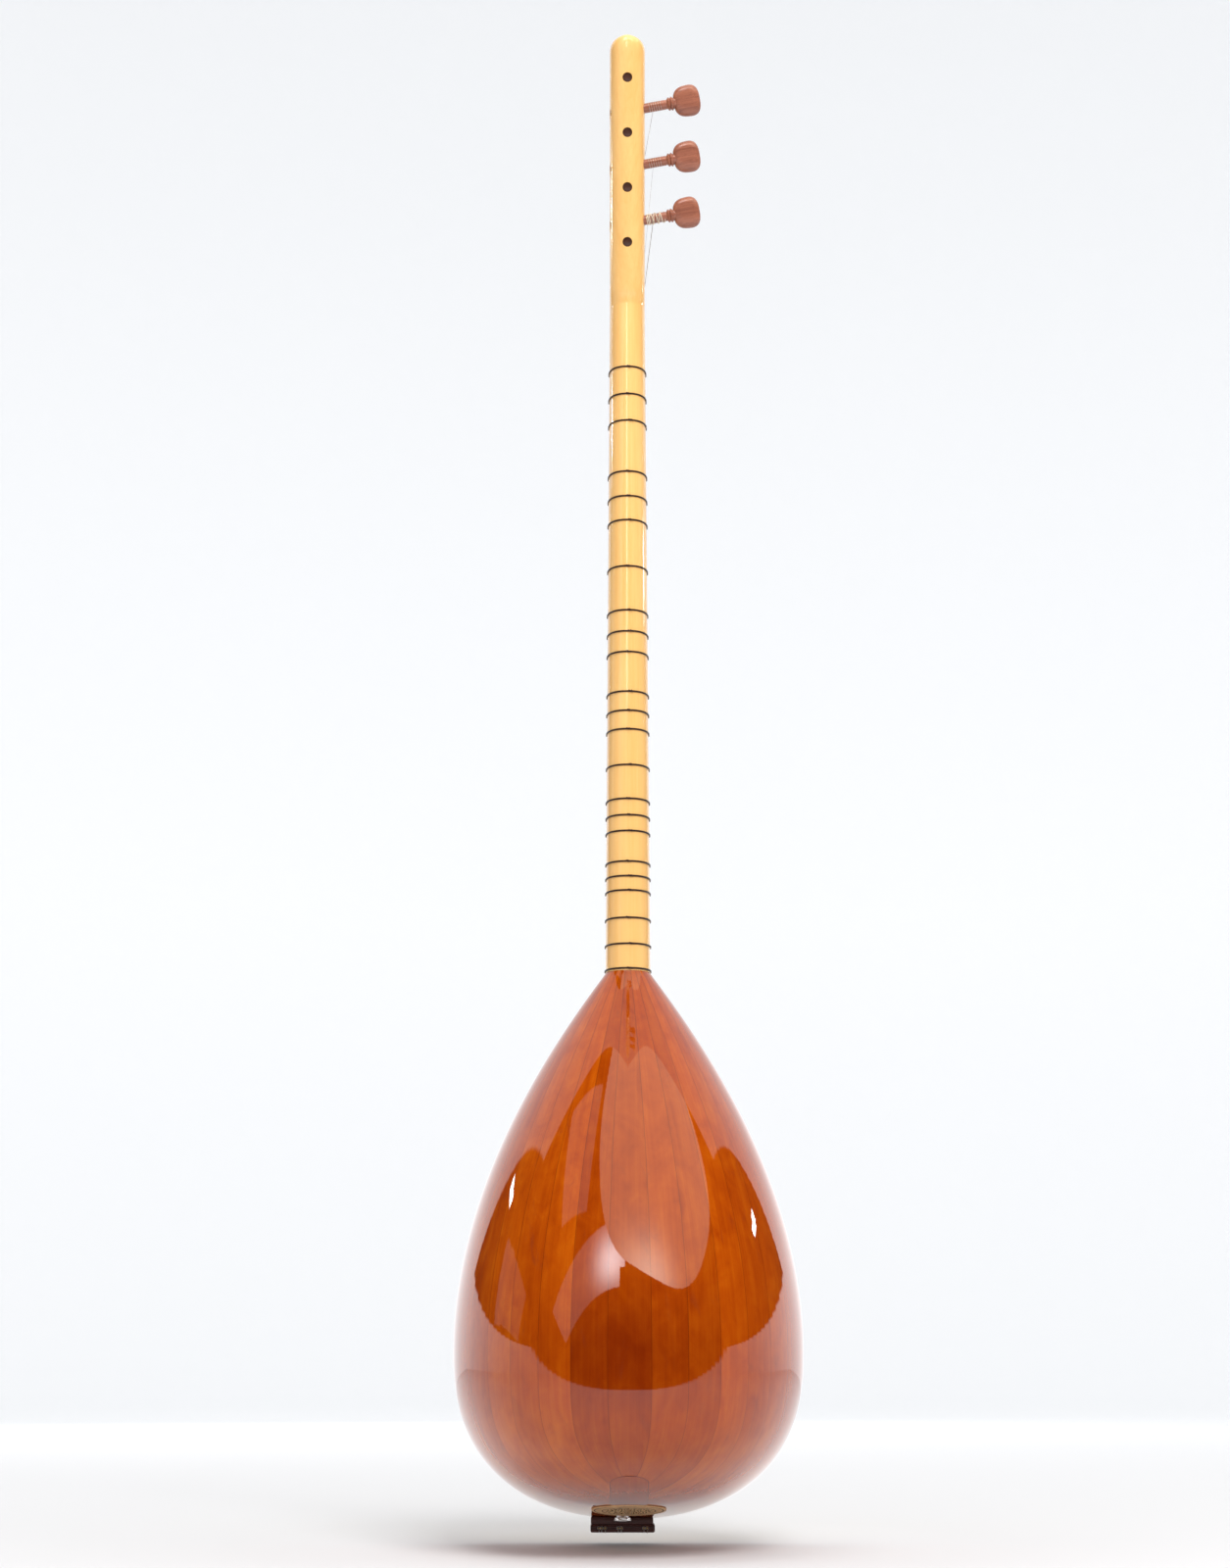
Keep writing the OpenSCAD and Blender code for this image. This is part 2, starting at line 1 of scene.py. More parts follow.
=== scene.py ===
"""Looks of a long-necked lute (baglama saz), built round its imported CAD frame.

The instrument's lengths are millimetres in the CAD's own frame: +Z runs up the neck, the
strings face -Y and the back of the bowl faces +Y. make() turns them into metres. The stage,
the lamps, the camera and the widths given to softened() are in metres from the start.
"""
import math

import bmesh
import bpy
import numpy as np
from mathutils import Matrix, Vector


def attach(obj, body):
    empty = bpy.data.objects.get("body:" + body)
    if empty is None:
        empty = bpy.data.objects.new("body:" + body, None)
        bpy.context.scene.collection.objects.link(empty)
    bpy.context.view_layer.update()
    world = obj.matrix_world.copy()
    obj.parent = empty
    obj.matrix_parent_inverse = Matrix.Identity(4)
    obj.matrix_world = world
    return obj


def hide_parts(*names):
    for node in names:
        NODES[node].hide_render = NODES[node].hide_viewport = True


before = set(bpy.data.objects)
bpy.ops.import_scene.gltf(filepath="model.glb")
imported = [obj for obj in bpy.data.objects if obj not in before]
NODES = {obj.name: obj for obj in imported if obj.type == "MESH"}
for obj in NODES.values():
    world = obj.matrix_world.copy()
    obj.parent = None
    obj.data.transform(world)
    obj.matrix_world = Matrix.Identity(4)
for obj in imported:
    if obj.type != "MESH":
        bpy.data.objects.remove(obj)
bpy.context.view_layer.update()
ROOT = "instrument"

# ---------------------------------------------------------------- the instrument's dimensions
BOWL_LEN, BOWL_W, BOWL_D, STAVE_T, WIDE_Z = 421, 270, 215, 3, 130
NECK_LEN, BOARD_T = 552, 3
# half width and depth of the neck at the bowl and at the nut
JOINT_HALF, JOINT_DEPTH, NUT_HALF, NUT_DEPTH = 18, 26, 14.75, 21.5
NUT_Z = BOWL_LEN + NECK_LEN
NECK_TOP = NUT_Z + 6
SCALE_LEN = 880
BRIDGE_Z = NUT_Z - SCALE_LEN
# the power of the superellipses that the bowl's and the neck's sections follow
POWER = 2.2
HEAD_LEN, HEAD_T, HEAD_HALF, HEAD_TILT = 227, 22, 14.65, 15
# places of the first front and side peg up the head, the steps between pegs, the side pegs' place and lean
FRONT_AT, FRONT_STEP, SIDE_AT, SIDE_STEP, SIDE_H, SIDE_LEAN = 56.5, 44.9, 76, 46, 9, 10
PEG_R, BORE_R, WOUND_R = 4, 4.05, 4.46
STAVES, CAP_REACH, CAP_HALF = 17, 158, 14
TAIL_X, TAIL_FRONT, TAIL_BACK, TAIL_LOW, TAIL_W = 4.5, -5.5, 22, -8.5, 49
ROSETTE_Y, ROSETTE_R, HOLE_R = 65.1, 28, 20
# the frets' places in semitones
STEPS = [1, 1.5, 2, 3, 3.5, 4, 5, 6, 6.5, 7, 8, 8.5, 9, 10, 11, 11.5, 12, 13, 13.5, 14, 15, 16, 17]
# x at the nut, the bridge and the tail, and the string's radius
STRINGS = [(11.5, 17.5, 22.5, .10), (10, 15.8, 20.5, .10), (8.5, 14, 17.7, .22), (.9, 1.2, 7.9, .15),
           (-.9, -1.2, 5.5, .15), (-9.6, -15.6, -11.7, .10), (-11.4, -17.4, -14.1, .22)]
STRING_Y_BRIDGE, STRING_Y_NUT = -11, -4.8


def arch(t, p, q):
    """Falls from 1 at t = 0 to 0 at t = 1."""
    return np.maximum(0, 1 - np.maximum(0, t) ** p) ** q


def half_w(z):
    z = np.asarray(z, float)
    low = BOWL_W / 2 * arch(1 - z / WIDE_Z, 2.47, .46)
    share = np.clip((z - WIDE_Z) / (BOWL_LEN - WIDE_Z), 0, 1)
    up = JOINT_HALF + (BOWL_W / 2 - JOINT_HALF) * arch(share, 1.9, 1.01)
    return np.where(z < WIDE_Z, low, up)


def depth(z):
    z = np.asarray(z, float)
    low = BOWL_D * arch(1 - z / WIDE_Z, 4.3, 1)
    share = np.clip((z - WIDE_Z) / (BOWL_LEN - WIDE_Z), 0, 1)
    up = JOINT_DEPTH + (BOWL_D - JOINT_DEPTH) * arch(share, 1.8, 1.15)
    return np.where(z < WIDE_Z, low, up)


def fill(x, y, z):
    """Below 1 inside the bowl's outer surface, above 1 outside."""
    return (np.abs(x) / half_w(z)) ** POWER + (np.maximum(0, y) / depth(z)) ** POWER


def under_z(x, y):
    """Height of the bowl's underside over a point of the rim plane."""
    x, y = np.broadcast_arrays(np.asarray(x, float), np.asarray(y, float))
    lo, hi = np.full(x.shape, .001), np.full(x.shape, float(WIDE_Z))
    for _ in range(34):
        mid = (lo + hi) / 2
        out = fill(x, y, mid) > 1
        lo, hi = np.where(out, mid, lo), np.where(out, hi, mid)
    return (lo + hi) / 2


def bowl_normal(p):
    """Outward normals of the bowl's surface at points p."""
    p = np.asarray(p, float)
    x, y, z = p[:, 0], p[:, 1], p[:, 2]
    h = .05
    gx = fill(x + h, y, z) - fill(x - h, y, z)
    gy = np.where(y < h, 0, fill(x, y + h, z) - fill(x, y - h, z))
    top, low = np.minimum(BOWL_LEN, z + h), np.maximum(.001, z - h)
    gz = (fill(x, y, top) - fill(x, y, low)) * 2 * h / (top - low)
    n = np.stack([gx, gy, gz], 1)
    return n / np.maximum(1e-12, np.linalg.norm(n, axis=1))[:, None]


def section(w, d, angle):
    """Points of half a superellipse, by the angle from its deepest point."""
    s, c = np.sin(np.radians(angle)), np.cos(np.radians(angle))
    return w * np.sign(s) * np.abs(s) ** (2 / POWER), d * np.sign(c) * np.abs(c) ** (2 / POWER)


def neck_half(z):
    return JOINT_HALF - (JOINT_HALF - NUT_HALF) * (z - BOWL_LEN) / NECK_LEN


def neck_depth(z):
    return JOINT_DEPTH - (JOINT_DEPTH - NUT_DEPTH) * (z - BOWL_LEN) / NECK_LEN


# ---------------------------------------------------------------- node materials
class Nodes:
    """Short ways to add shader nodes to one material."""

    def __init__(self, name):
        self.mat = bpy.data.materials.new(name)
        self.mat.use_nodes = True
        self.tree = self.mat.node_tree
        self.bsdf = self.tree.nodes["Principled BSDF"]

    def add(self, kind, settings=None, **inputs):
        n = self.tree.nodes.new(kind)
        for k, v in (settings or {}).items():
            setattr(n, k, v)
        for k, v in inputs.items():
            self.put(n.inputs[int(k[1:]) if k[0] == "i" and k[1:].isdigit() else k.replace("_", " ")], v)
        return n

    def put(self, socket, v):
        if isinstance(v, bpy.types.NodeSocket):
            self.tree.links.new(v, socket)
        else:
            socket.default_value = v

    def maths(self, op, a, b=0., clamp=False):
        return self.add("ShaderNodeMath", {"operation": op, "use_clamp": clamp}, i0=a, i1=b).outputs[0]

    def mix(self, share, a, b, how="MIX"):
        n = self.add("ShaderNodeMix", {"data_type": "RGBA", "blend_type": how})
        for s, v in ((0, share), (6, a), (7, b)):
            self.put(n.inputs[s], v if isinstance(v, bpy.types.NodeSocket) or s == 0 else (*v[:3], 1))
        return n.outputs[2]

    def noise(self, where, scale, detail=4., rough=.55, warp=0.):
        m = self.add("ShaderNodeMapping", {}, Vector=where, Scale=scale)
        return self.add("ShaderNodeTexNoise", {}, Vector=m.outputs[0], Scale=1., Detail=detail,
                        Roughness=rough, Distortion=warp).outputs["Fac"]

    def ramp(self, value, *stops):
        n = self.add("ShaderNodeValToRGB", {}, Fac=value)
        el = n.color_ramp.elements
        while len(el) < len(stops):
            el.new(.5)
        for e, (at, colour) in zip(el, stops):
            e.position = at
            e.color = (*colour, 1) if len(colour) == 3 else colour
        return n.outputs[0]

    def between(self, value, low, high):
        n = self.add("ShaderNodeMapRange", {"clamp": True}, Value=value, From_Min=low, From_Max=high)
        return n.outputs[0]

    def place(self):
        """The point on the object in millimetres."""
        where = self.add("ShaderNodeTexCoord").outputs["Object"]
        return self.add("ShaderNodeMapping", {}, Vector=where, Scale=(1000, 1000, 1000)).outputs[0]

    def parts(self, vector):
        return self.add("ShaderNodeSeparateXYZ", {}, Vector=vector).outputs

    def hypot(self, a, b):
        squares = [self.maths("MULTIPLY", v, v) for v in (a, b)]
        return self.maths("SQRT", self.maths("ADD", *squares))

    def glow(self, colour, strength):
        self.put(self.bsdf.inputs["Emission Color"], (*colour, 1))
        self.put(self.bsdf.inputs["Emission Strength"], strength)

    def attribute(self, name, part="Vector"):
        return self.add("ShaderNodeAttribute", {"attribute_name": name}).outputs[part]

    def bump(self, height, strength, distance):
        n = self.add("ShaderNodeBump", {}, Height=height, Strength=strength, Distance=distance)
        self.put(self.bsdf.inputs["Normal"], n.outputs[0])

    def finish(self, colour, rough, metal=0., coat=0., coat_rough=.03, spec=.5):
        b = self.bsdf.inputs
        self.put(b["Base Color"], colour if isinstance(colour, bpy.types.NodeSocket) else (*colour, 1))
        self.put(b["Roughness"], rough)
        for k, v in (("Metallic", metal), ("Coat Weight", coat), ("Coat Roughness", coat_rough),
                     ("Specular IOR Level", spec)):
            self.put(b[k], v)
        return self.mat


def wood(name, light, dark, coords="attribute", streak=1., rough=.4, coat=0., coat_rough=.03,
         spec=.4, bump=.02, pores=0., with_end_grain_and_shade=False):
    """Straight-grained wood. The grain runs along the third coordinate, in millimetres."""
    m = Nodes(name)
    at = m.attribute("grain") if coords == "attribute" else m.place()
    broad = m.noise(at, (.09, .09, .006), 3, .5, .6)
    bands = m.noise(at, (.55, .55, .010), 4, .55, .3)
    fibre = m.noise(at, (3.2, 3.2, .05), 5, .6)
    mixed = m.maths("ADD", m.maths("MULTIPLY", bands, .55 * streak), m.maths("MULTIPLY", broad, .45))
    mixed = m.maths("ADD", mixed, m.maths("MULTIPLY", m.maths("SUBTRACT", fibre, .5), .35 * streak))
    colour = m.ramp(mixed, (.28, dark), (.72, light))
    # the peg's end inside its bore is painted near black: dark end grain with painted shade
    if with_end_grain_and_shade:
        colour = m.mix(m.attribute("scorch", "Fac"), colour, (.022, .009, .006))
    if pores:
        dots = m.between(m.noise(at, (5.5, 5.5, .22), 2, .5), .60, .72)
        colour = m.mix(m.maths("MULTIPLY", dots, pores), colour, tuple(c * .35 for c in dark))
    m.bump(fibre, bump, .0002)
    return m.finish(colour, rough, 0., coat, coat_rough, spec)


def bowl_wood():
    """Lacquered staves: grain = (mm across the stave, mm to its nearest edge, mm along it)."""
    m = Nodes("bowl_lacquer")
    across, edge, along = m.parts(m.attribute("grain"))
    tone = m.attribute("tone", "Fac")
    shifted = m.maths("ADD", across, m.maths("MULTIPLY", tone, 977.))
    at = m.add("ShaderNodeCombineXYZ", {}, X=shifted, Y=m.maths("MULTIPLY", tone, 311.), Z=along).outputs[0]
    cloud = m.noise(at, (.040, .040, .020), 3, .5, 1.5)
    bands = m.noise(at, (.30, .30, .007), 4, .5, .6)
    curl = m.noise(at, (.10, .10, .085), 3, .5, .8)
    fibre = m.noise(at, (2.2, 2.2, .035), 5, .6)
    mixed = m.maths("ADD", m.maths("MULTIPLY", bands, .30), m.maths("MULTIPLY", cloud, .50))
    mixed = m.maths("ADD", mixed, m.maths("MULTIPLY", curl, .20))
    mixed = m.maths("ADD", mixed, m.maths("MULTIPLY", m.maths("SUBTRACT", fibre, .5), .16))
    colour = m.ramp(mixed, (.26, (.235, .0250, .0003)), (.50, (.325, .0470, .0006)),
                    (.74, (.405, .0770, .0016)))
    # the stave's tone, with painted shade and painted light from its height, and greyer figure in a few
    # places
    shade = m.ramp(m.attribute("shade", "Fac"), (0, (.48, .30, .40)), (.5, (1, 1, 1)), (1, (1.5, 2.0, 2.0)))
    colour = m.mix(1., colour, shade, "MULTIPLY")
    grey = m.between(m.noise(at, (.05, .05, .016), 4, .6, 2.), .60, .74)
    colour = m.mix(m.maths("MULTIPLY", grey, .30), colour, (.15, .026, .010))
    # a thin dark glue line along each joint
    line = m.maths("SUBTRACT", 1., m.between(edge, .05, .42))
    colour = m.mix(m.maths("MULTIPLY", line, .55), colour, (.070, .009, .0010))
    return m.finish(colour, .5, 0., 1., .012, 0.)


def rosette_wood():
    """Thin light wood with burnt rings, grain = mm from the rosette's centre."""
    m = Nodes("rosette_wood")
    x, y, _ = m.parts(m.attribute("grain"))
    r = m.hypot(x, y)
    turn = m.maths("ARCTAN2", y, x)
    wave = m.maths("ADD", r, m.maths("MULTIPLY", m.maths("SINE", m.maths("MULTIPLY", turn, 16.)), .9))
    lines = m.between(m.maths("SINE", m.maths("MULTIPLY", wave, 2.1)), .1, .6)
    burnt = m.maths("MULTIPLY", lines, m.maths("SUBTRACT", 1., m.between(r, 17.5, 18.5)))
    for ring_r in (19.8, 25.6):
        off = m.maths("ABSOLUTE", m.maths("SUBTRACT", r, ring_r))
        burnt = m.maths("MAXIMUM", burnt, m.maths("SUBTRACT", 1., m.between(off, .35, .6)))
    fibre = m.noise(m.attribute("grain"), (.25, 2.2, 2.2), 4, .6)
    colour = m.ramp(fibre, (.3, (.66, .40, .20)), (.7, (.84, .58, .31)))
    colour = m.mix(m.maths("MULTIPLY", burnt, .85), colour, (.045, .018, .008))
    m.bump(burnt, .15, -.0003)
    return m.finish(colour, .6, 0., 0., .12, .12)


def wound_steel():
    """A string wound with fine wire."""
    m = Nodes("wound_string")
    turns = m.maths("SINE", m.maths("MULTIPLY", m.parts(m.attribute("grain"))[2], 26.))
    m.bump(turns, .5, .00006)
    # painted shade: the grooves between the wire's turns are painted dark, the crests lighter
    colour = m.mix(m.between(turns, -1, 1), (.22, .19, .16), (.60, .55, .48))
    return m.finish(colour, .28, 1.)


def metal(name, colour, rough, streaks=.1):
    m = Nodes(name)
    at = m.place()
    worn = m.noise(at, (.8, .8, .8), 4, .6)
    shade = m.mix(m.maths("MULTIPLY", worn, streaks), colour, tuple(c * .55 for c in colour))
    m.bump(m.noise(at, (9, 9, 1.2), 3, .5), .05, .00005)
    return m.finish(shade, m.maths("ADD", rough, m.maths("MULTIPLY", worn, .12)), 1.)


def smooth_stuff(name, colour, rough, mottle=.15, coat=0., spec=.5):
    m = Nodes(name)
    at = m.place()
    spots = m.noise(at, (.9, .9, .35), 5, .6)
    shade = m.mix(m.maths("MULTIPLY", spots, mottle), colour, tuple(c * .5 for c in colour))
    m.bump(m.noise(at, (6, 6, 6), 3, .5), .04, .0001)
    return m.finish(shade, rough, 0., coat, .05, spec)


LACQUER = bowl_wood()
NECK_WOOD = wood("neck_lacquer", (.84, .525, .185), (.74, .39, .100), "object", .6, .5, 1., .10, .8, .006)
SPRUCE = wood("spruce_face", (.83, .58, .30), (.66, .40, .16), "object", 1.6, .38, .5, .10, .3, .012)
INNER = wood("bare_softwood", (.78, .62, .40), (.62, .45, .26), "object", 1.2, .7, 0., .1, .3, .05)
DARK_WOOD = wood("dark_oiled_wood", (.060, .014, .009), (.020, .005, .004), "object", 1.2, .42, .25, .15,
                 .4, .05, .4)
TAIL_WOOD = wood("tailpiece_wood", (.055, .013, .010), (.020, .0055, .004), "attribute", 1.2, .5, .2, .2,
                 .3, .06, .5)
PEG_WOOD = wood("peg_wood", (.32, .110, .062), (.145, .038, .021), "attribute", 1.3, .36, .5, .14,
                .4, .05, .5, True)
ROSETTE_WOOD = rosette_wood()
NYLON = smooth_stuff("fret_nylon", (.030, .013, .008), .42, .3, .1, .25)
BONE = smooth_stuff("bone", (.82, .76, .60), .32, .12, .3)
STEEL = metal("plain_steel", (.50, .48, .46), .26)
WOUND = wound_steel()
CHROME = metal("jack_plating", (.90, .88, .86), .24, .05)
BRASS = metal("dark_brass", (.30, .21, .11), .35, .3)
SLEEVE = smooth_stuff("lead_sleeve", (.055, .055, .06), .6, .2)
THREAD = smooth_stuff("cream_thread", (.78, .66, .50), .7, .2)


# ---------------------------------------------------------------- mesh helpers
def make(name, points, faces, material, body, stands_for=(), attributes=None, sharp=None):
    """A smooth-shaded piece from points in millimetres, riding on a CAD body."""
    me = bpy.data.meshes.new(name)
    me.from_pydata((np.asarray(points, float) / 1000).tolist(), [], [list(map(int, f)) for f in faces])
    for key, values in (attributes or {}).items():
        values = np.asarray(values, np.float32)
        kind = "FLOAT_VECTOR" if values.ndim == 2 else "FLOAT"
        a = me.attributes.new(key, kind, "POINT")
        a.data.foreach_set("vector" if values.ndim == 2 else "value", values.ravel())
    bm = bmesh.new()
    bm.from_mesh(me)
    bmesh.ops.recalc_face_normals(bm, faces=bm.faces)
    bm.to_mesh(me)
    bm.free()
    me.polygons.foreach_set("use_smooth", [True] * len(me.polygons))
    if sharp is not None:
        me.set_sharp_from_angle(angle=math.radians(sharp))
    me.materials.append(material)
    obj = bpy.data.objects.new(name, me)
    bpy.context.scene.collection.objects.link(obj)
    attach(obj, body)
    if stands_for:
        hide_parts(*stands_for)
    return obj


def grid_faces(rows, cols, start=0, around=False):
    """Quads of a grid of points; around joins the last column to the first."""
    return [(start + r * cols + c, start + r * cols + (c + 1) % cols,
             start + (r + 1) * cols + (c + 1) % cols, start + (r + 1) * cols + c)
            for r in range(rows - 1) for c in range(cols if around else cols - 1)]


def loft(rings):
    """Points and faces of a closed solid through rings of the same length, capped at both ends."""
    rows, cols = len(rings), len(rings[0])
    faces = grid_faces(rows, cols, 0, True)
    faces.append(list(range(cols)))
    faces.append([(rows - 1) * cols + c for c in range(cols)][::-1])
    return np.concatenate(rings), faces


def shell(outer, inner):
    """Closed shell between two grids of the same shape, given as rows x cols x 3."""
    rows, cols = outer.shape[:2]
    n = rows * cols
    faces = grid_faces(rows, cols) + [f[::-1] for f in grid_faces(rows, cols, n)]
    rim = list(range(cols)) + [r * cols + cols - 1 for r in range(1, rows)]
    rim += [(rows - 1) * cols + c for c in range(cols - 2, -1, -1)]
    rim += [r * cols for r in range(rows - 2, 0, -1)]
    faces += [(a, b, b + n, a + n) for a, b in zip(rim, rim[1:] + rim[:1])]
    return np.concatenate([outer.reshape(-1, 3), inner.reshape(-1, 3)]), faces


def tube(path, radius, sides=8, closed=False):
    """Points, faces and grain of a round tube along a path."""
    path = np.asarray(path, float)
    n = len(path)
    ahead = np.roll(path, -1, 0) - path
    back = path - np.roll(path, 1, 0)
    if not closed:
        ahead[-1], back[0] = back[-1], ahead[0]
    tangent = ahead / np.linalg.norm(ahead, axis=1)[:, None] + back / np.linalg.norm(back, axis=1)[:, None]
    tangent /= np.linalg.norm(tangent, axis=1)[:, None]
    up = np.cross(tangent[0], (.31, .17, .93) if abs(tangent[0][2]) < .9 else (1, 0, 0))
    rings, grain, walked = [], [], 0.
    a = 2 * math.pi * np.arange(sides) / sides
    for i in range(n):
        up = up - tangent[i] * (up @ tangent[i])
        up = up / np.linalg.norm(up)
        side = np.cross(tangent[i], up)
        r = radius if np.isscalar(radius) else radius[i]
        rings.append(path[i] + r * (np.cos(a)[:, None] * up + np.sin(a)[:, None] * side))
        walked += 0 if i == 0 else np.linalg.norm(path[i] - path[i - 1])
        grain.append(np.stack([r * np.cos(a), r * np.sin(a), np.full(sides, walked)], 1))
    if closed:
        pts = np.concatenate(rings)
        faces = grid_faces(n, sides, 0, True)
        last = (n - 1) * sides
        faces += [(last + c, last + (c + 1) % sides, (c + 1) % sides, c) for c in range(sides)]
    else:
        pts, faces = loft(rings)
    return pts, faces, np.concatenate(grain)


def joined(*parts):
    """Several (points, faces, grain) as one."""
    points, faces, grain, start = [], [], [], 0
    for p, f, g in parts:
        points.append(p)
        grain.append(g)
        faces += [[i + start for i in face] for face in f]
        start += len(p)
    return np.concatenate(points), faces, np.concatenate(grain)


def placed(matrix, points):
    points = np.asarray(points, float)
    m = np.array(matrix)
    return points @ m[:3, :3].T + m[:3, 3]


def surface_normals(obj, sign_limit=.6):
    """Gives faces that lie on the bowl's outer surface the surface's own normals."""
    me = obj.data
    co = np.zeros(len(me.vertices) * 3)
    me.vertices.foreach_get("co", co)
    exact = bowl_normal(co.reshape(-1, 3) * 1000)
    count = len(me.loops)
    corner = np.zeros(count, int)
    me.loops.foreach_get("vertex_index", corner)
    flat = np.zeros(len(me.polygons) * 3)
    me.polygons.foreach_get("normal", flat)
    sizes = np.zeros(len(me.polygons), int)
    me.polygons.foreach_get("loop_total", sizes)
    centre = np.zeros(len(me.polygons) * 3)
    me.polygons.foreach_get("center", centre)
    flat, centre = flat.reshape(-1, 3), centre.reshape(-1, 3) * 1000
    lifted = fill(centre[:, 0], centre[:, 1], np.clip(centre[:, 2], .01, BOWL_LEN - .01)) - 1
    outer = (np.einsum("ij,ij->i", flat, bowl_normal(centre)) > sign_limit) & (lifted > -.012)
    use = np.repeat(outer, sizes)
    normals = np.where(use[:, None], exact[corner], np.repeat(flat, sizes, 0))
    me.normals_split_custom_set(normals.tolist())


def carve(obj, cutter_points, cutter_faces):
    """Cuts a solid out of a piece and keeps the piece's attributes."""
    me = bpy.data.meshes.new("cutter")
    faces = [list(map(int, f)) for f in cutter_faces]
    me.from_pydata((np.asarray(cutter_points) / 1000).tolist(), [], faces)
    bm = bmesh.new()
    bm.from_mesh(me)
    bmesh.ops.recalc_face_normals(bm, faces=bm.faces)
    bm.to_mesh(me)
    bm.free()
    tool = bpy.data.objects.new("cutter", me)
    bpy.context.scene.collection.objects.link(tool)
    mod = obj.modifiers.new("cut", "BOOLEAN")
    mod.operation, mod.object, mod.solver = "DIFFERENCE", tool, "EXACT"
    bpy.context.view_layer.update()
    cut = bpy.data.meshes.new_from_object(obj.evaluated_get(bpy.context.evaluated_depsgraph_get()))
    obj.modifiers.clear()
    obj.data = cut
    bpy.data.objects.remove(tool)


def rod(matrix, radius, low, high, sides=48):
    """Points and faces of a cylinder along a frame's local Z."""
    a = 2 * math.pi * np.arange(sides) / sides
    rings = [placed(matrix, np.stack([radius * np.cos(a), radius * np.sin(a), np.full(sides, z)], 1))
             for z in (low, high)]
    return loft(rings)


def tail_lean(y):
    return math.atan(float(under_z(0, y + 1) - under_z(0, y - 1)) / 2)


def on_tail(y):
    """Frame on the middle of the bowl's underside whose -Z is the outward normal."""
    return Matrix.Translation((0, y, float(under_z(0, y)))) @ Matrix.Rotation(tail_lean(y), 4, "X")


# ---------------------------------------------------------------- bowl
def joint_low(v, rho):
    """Points below the widest height, from the cap strip's line (rho 0) to the widest section (rho 1)."""
    rx, ry = section(BOWL_W / 2, BOWL_D, 90 * v)
    py = CAP_REACH * (1 - np.abs(v))
    x, y = rx * rho, py + (ry - py) * rho
    return x, y, np.where(rho > .9999, WIDE_Z, under_z(x, y))


LOW_ROWS, TOP_ROWS, STAVE_COLS = 72, 60, 13
MIDDLE = STAVES // 2
# how light each stave is, from -X to +X: the middle ones are browner
SHADES = [.50, .56, .46, .52, .46, .54, .40, .44, .36, .36, .60, .54, .64, .50, .56, .48, .52]


def stave(k):
    """Stave k, counted from -X, as a thin closed shell."""
    vs = np.linspace(-1 + 2 * k / STAVES, -1 + 2 * (k + 1) / STAVES, STAVE_COLS)
    rho = .03 + .97 * np.sin(np.linspace(0, math.pi / 2, LOW_ROWS))
    rows = [np.stack(np.broadcast_arrays(*joint_low(vs, np.full_like(vs, r))), 1) for r in rho]
    for z in np.linspace(WIDE_Z, BOWL_LEN, TOP_ROWS + 1)[1:]:
        x, y = section(half_w(z), depth(z), 90 * vs)
        rows.append(np.stack([x, y, np.full_like(x, z)], 1))
    outer = np.stack(rows)
    normals = bowl_normal(outer.reshape(-1, 3)).reshape(outer.shape)
    inner = outer - STAVE_T * normals
    inner[..., 1] = np.maximum(inner[..., 1], 0)
    steps = np.linalg.norm(np.diff(outer[:, STAVE_COLS // 2], axis=0), axis=1)
    run = np.concatenate([[0], np.cumsum(steps)])
    half = np.linalg.norm(outer[:, -1] - outer[:, 0], axis=1) / 2
    across = np.linspace(-1, 1, STAVE_COLS)[None, :] * half[:, None]
    edge = half[:, None] - np.abs(across)
    grain = np.stack([across, edge, np.repeat(run[:, None], STAVE_COLS, 1)], 2).reshape(-1, 3)
    grain = np.concatenate([grain, grain])
    # painted shade: the middle staves are darkest a third of the way up; painted light: all of them lighten
    # towards the tail
    height = outer[..., 2].reshape(-1)
    middle = math.exp(-((k - MIDDLE) / 2.2) ** 2)
    shade = SHADES[k] - .30 * middle * np.exp(-((height - 125) / 45) ** 2)
    shade = shade + .26 * np.clip((95 - height) / 60, 0, 1)
    shade = np.concatenate([shade, shade])
    points, faces = shell(outer, inner)
    node = "stave_centre" if k == MIDDLE else "stave_pair_%d" % abs(k - MIDDLE)
    obj = make("stave_%02d" % (k + 1), points, faces, LACQUER, ROOT, (node,),
               {"grain": grain, "tone": np.full(len(points), (k * .37) % 1), "shade": shade})
    from_hole = outer.reshape(-1, 3) - np.array(on_tail(ROSETTE_Y).translation)
    if np.min(np.linalg.norm(from_hole, axis=1)) < HOLE_R + 8:
        carve(obj, *rod(on_tail(ROSETTE_Y), HOLE_R, -12, 12, 64))
    surface_normals(obj)


for k in range(STAVES):
    stave(k)


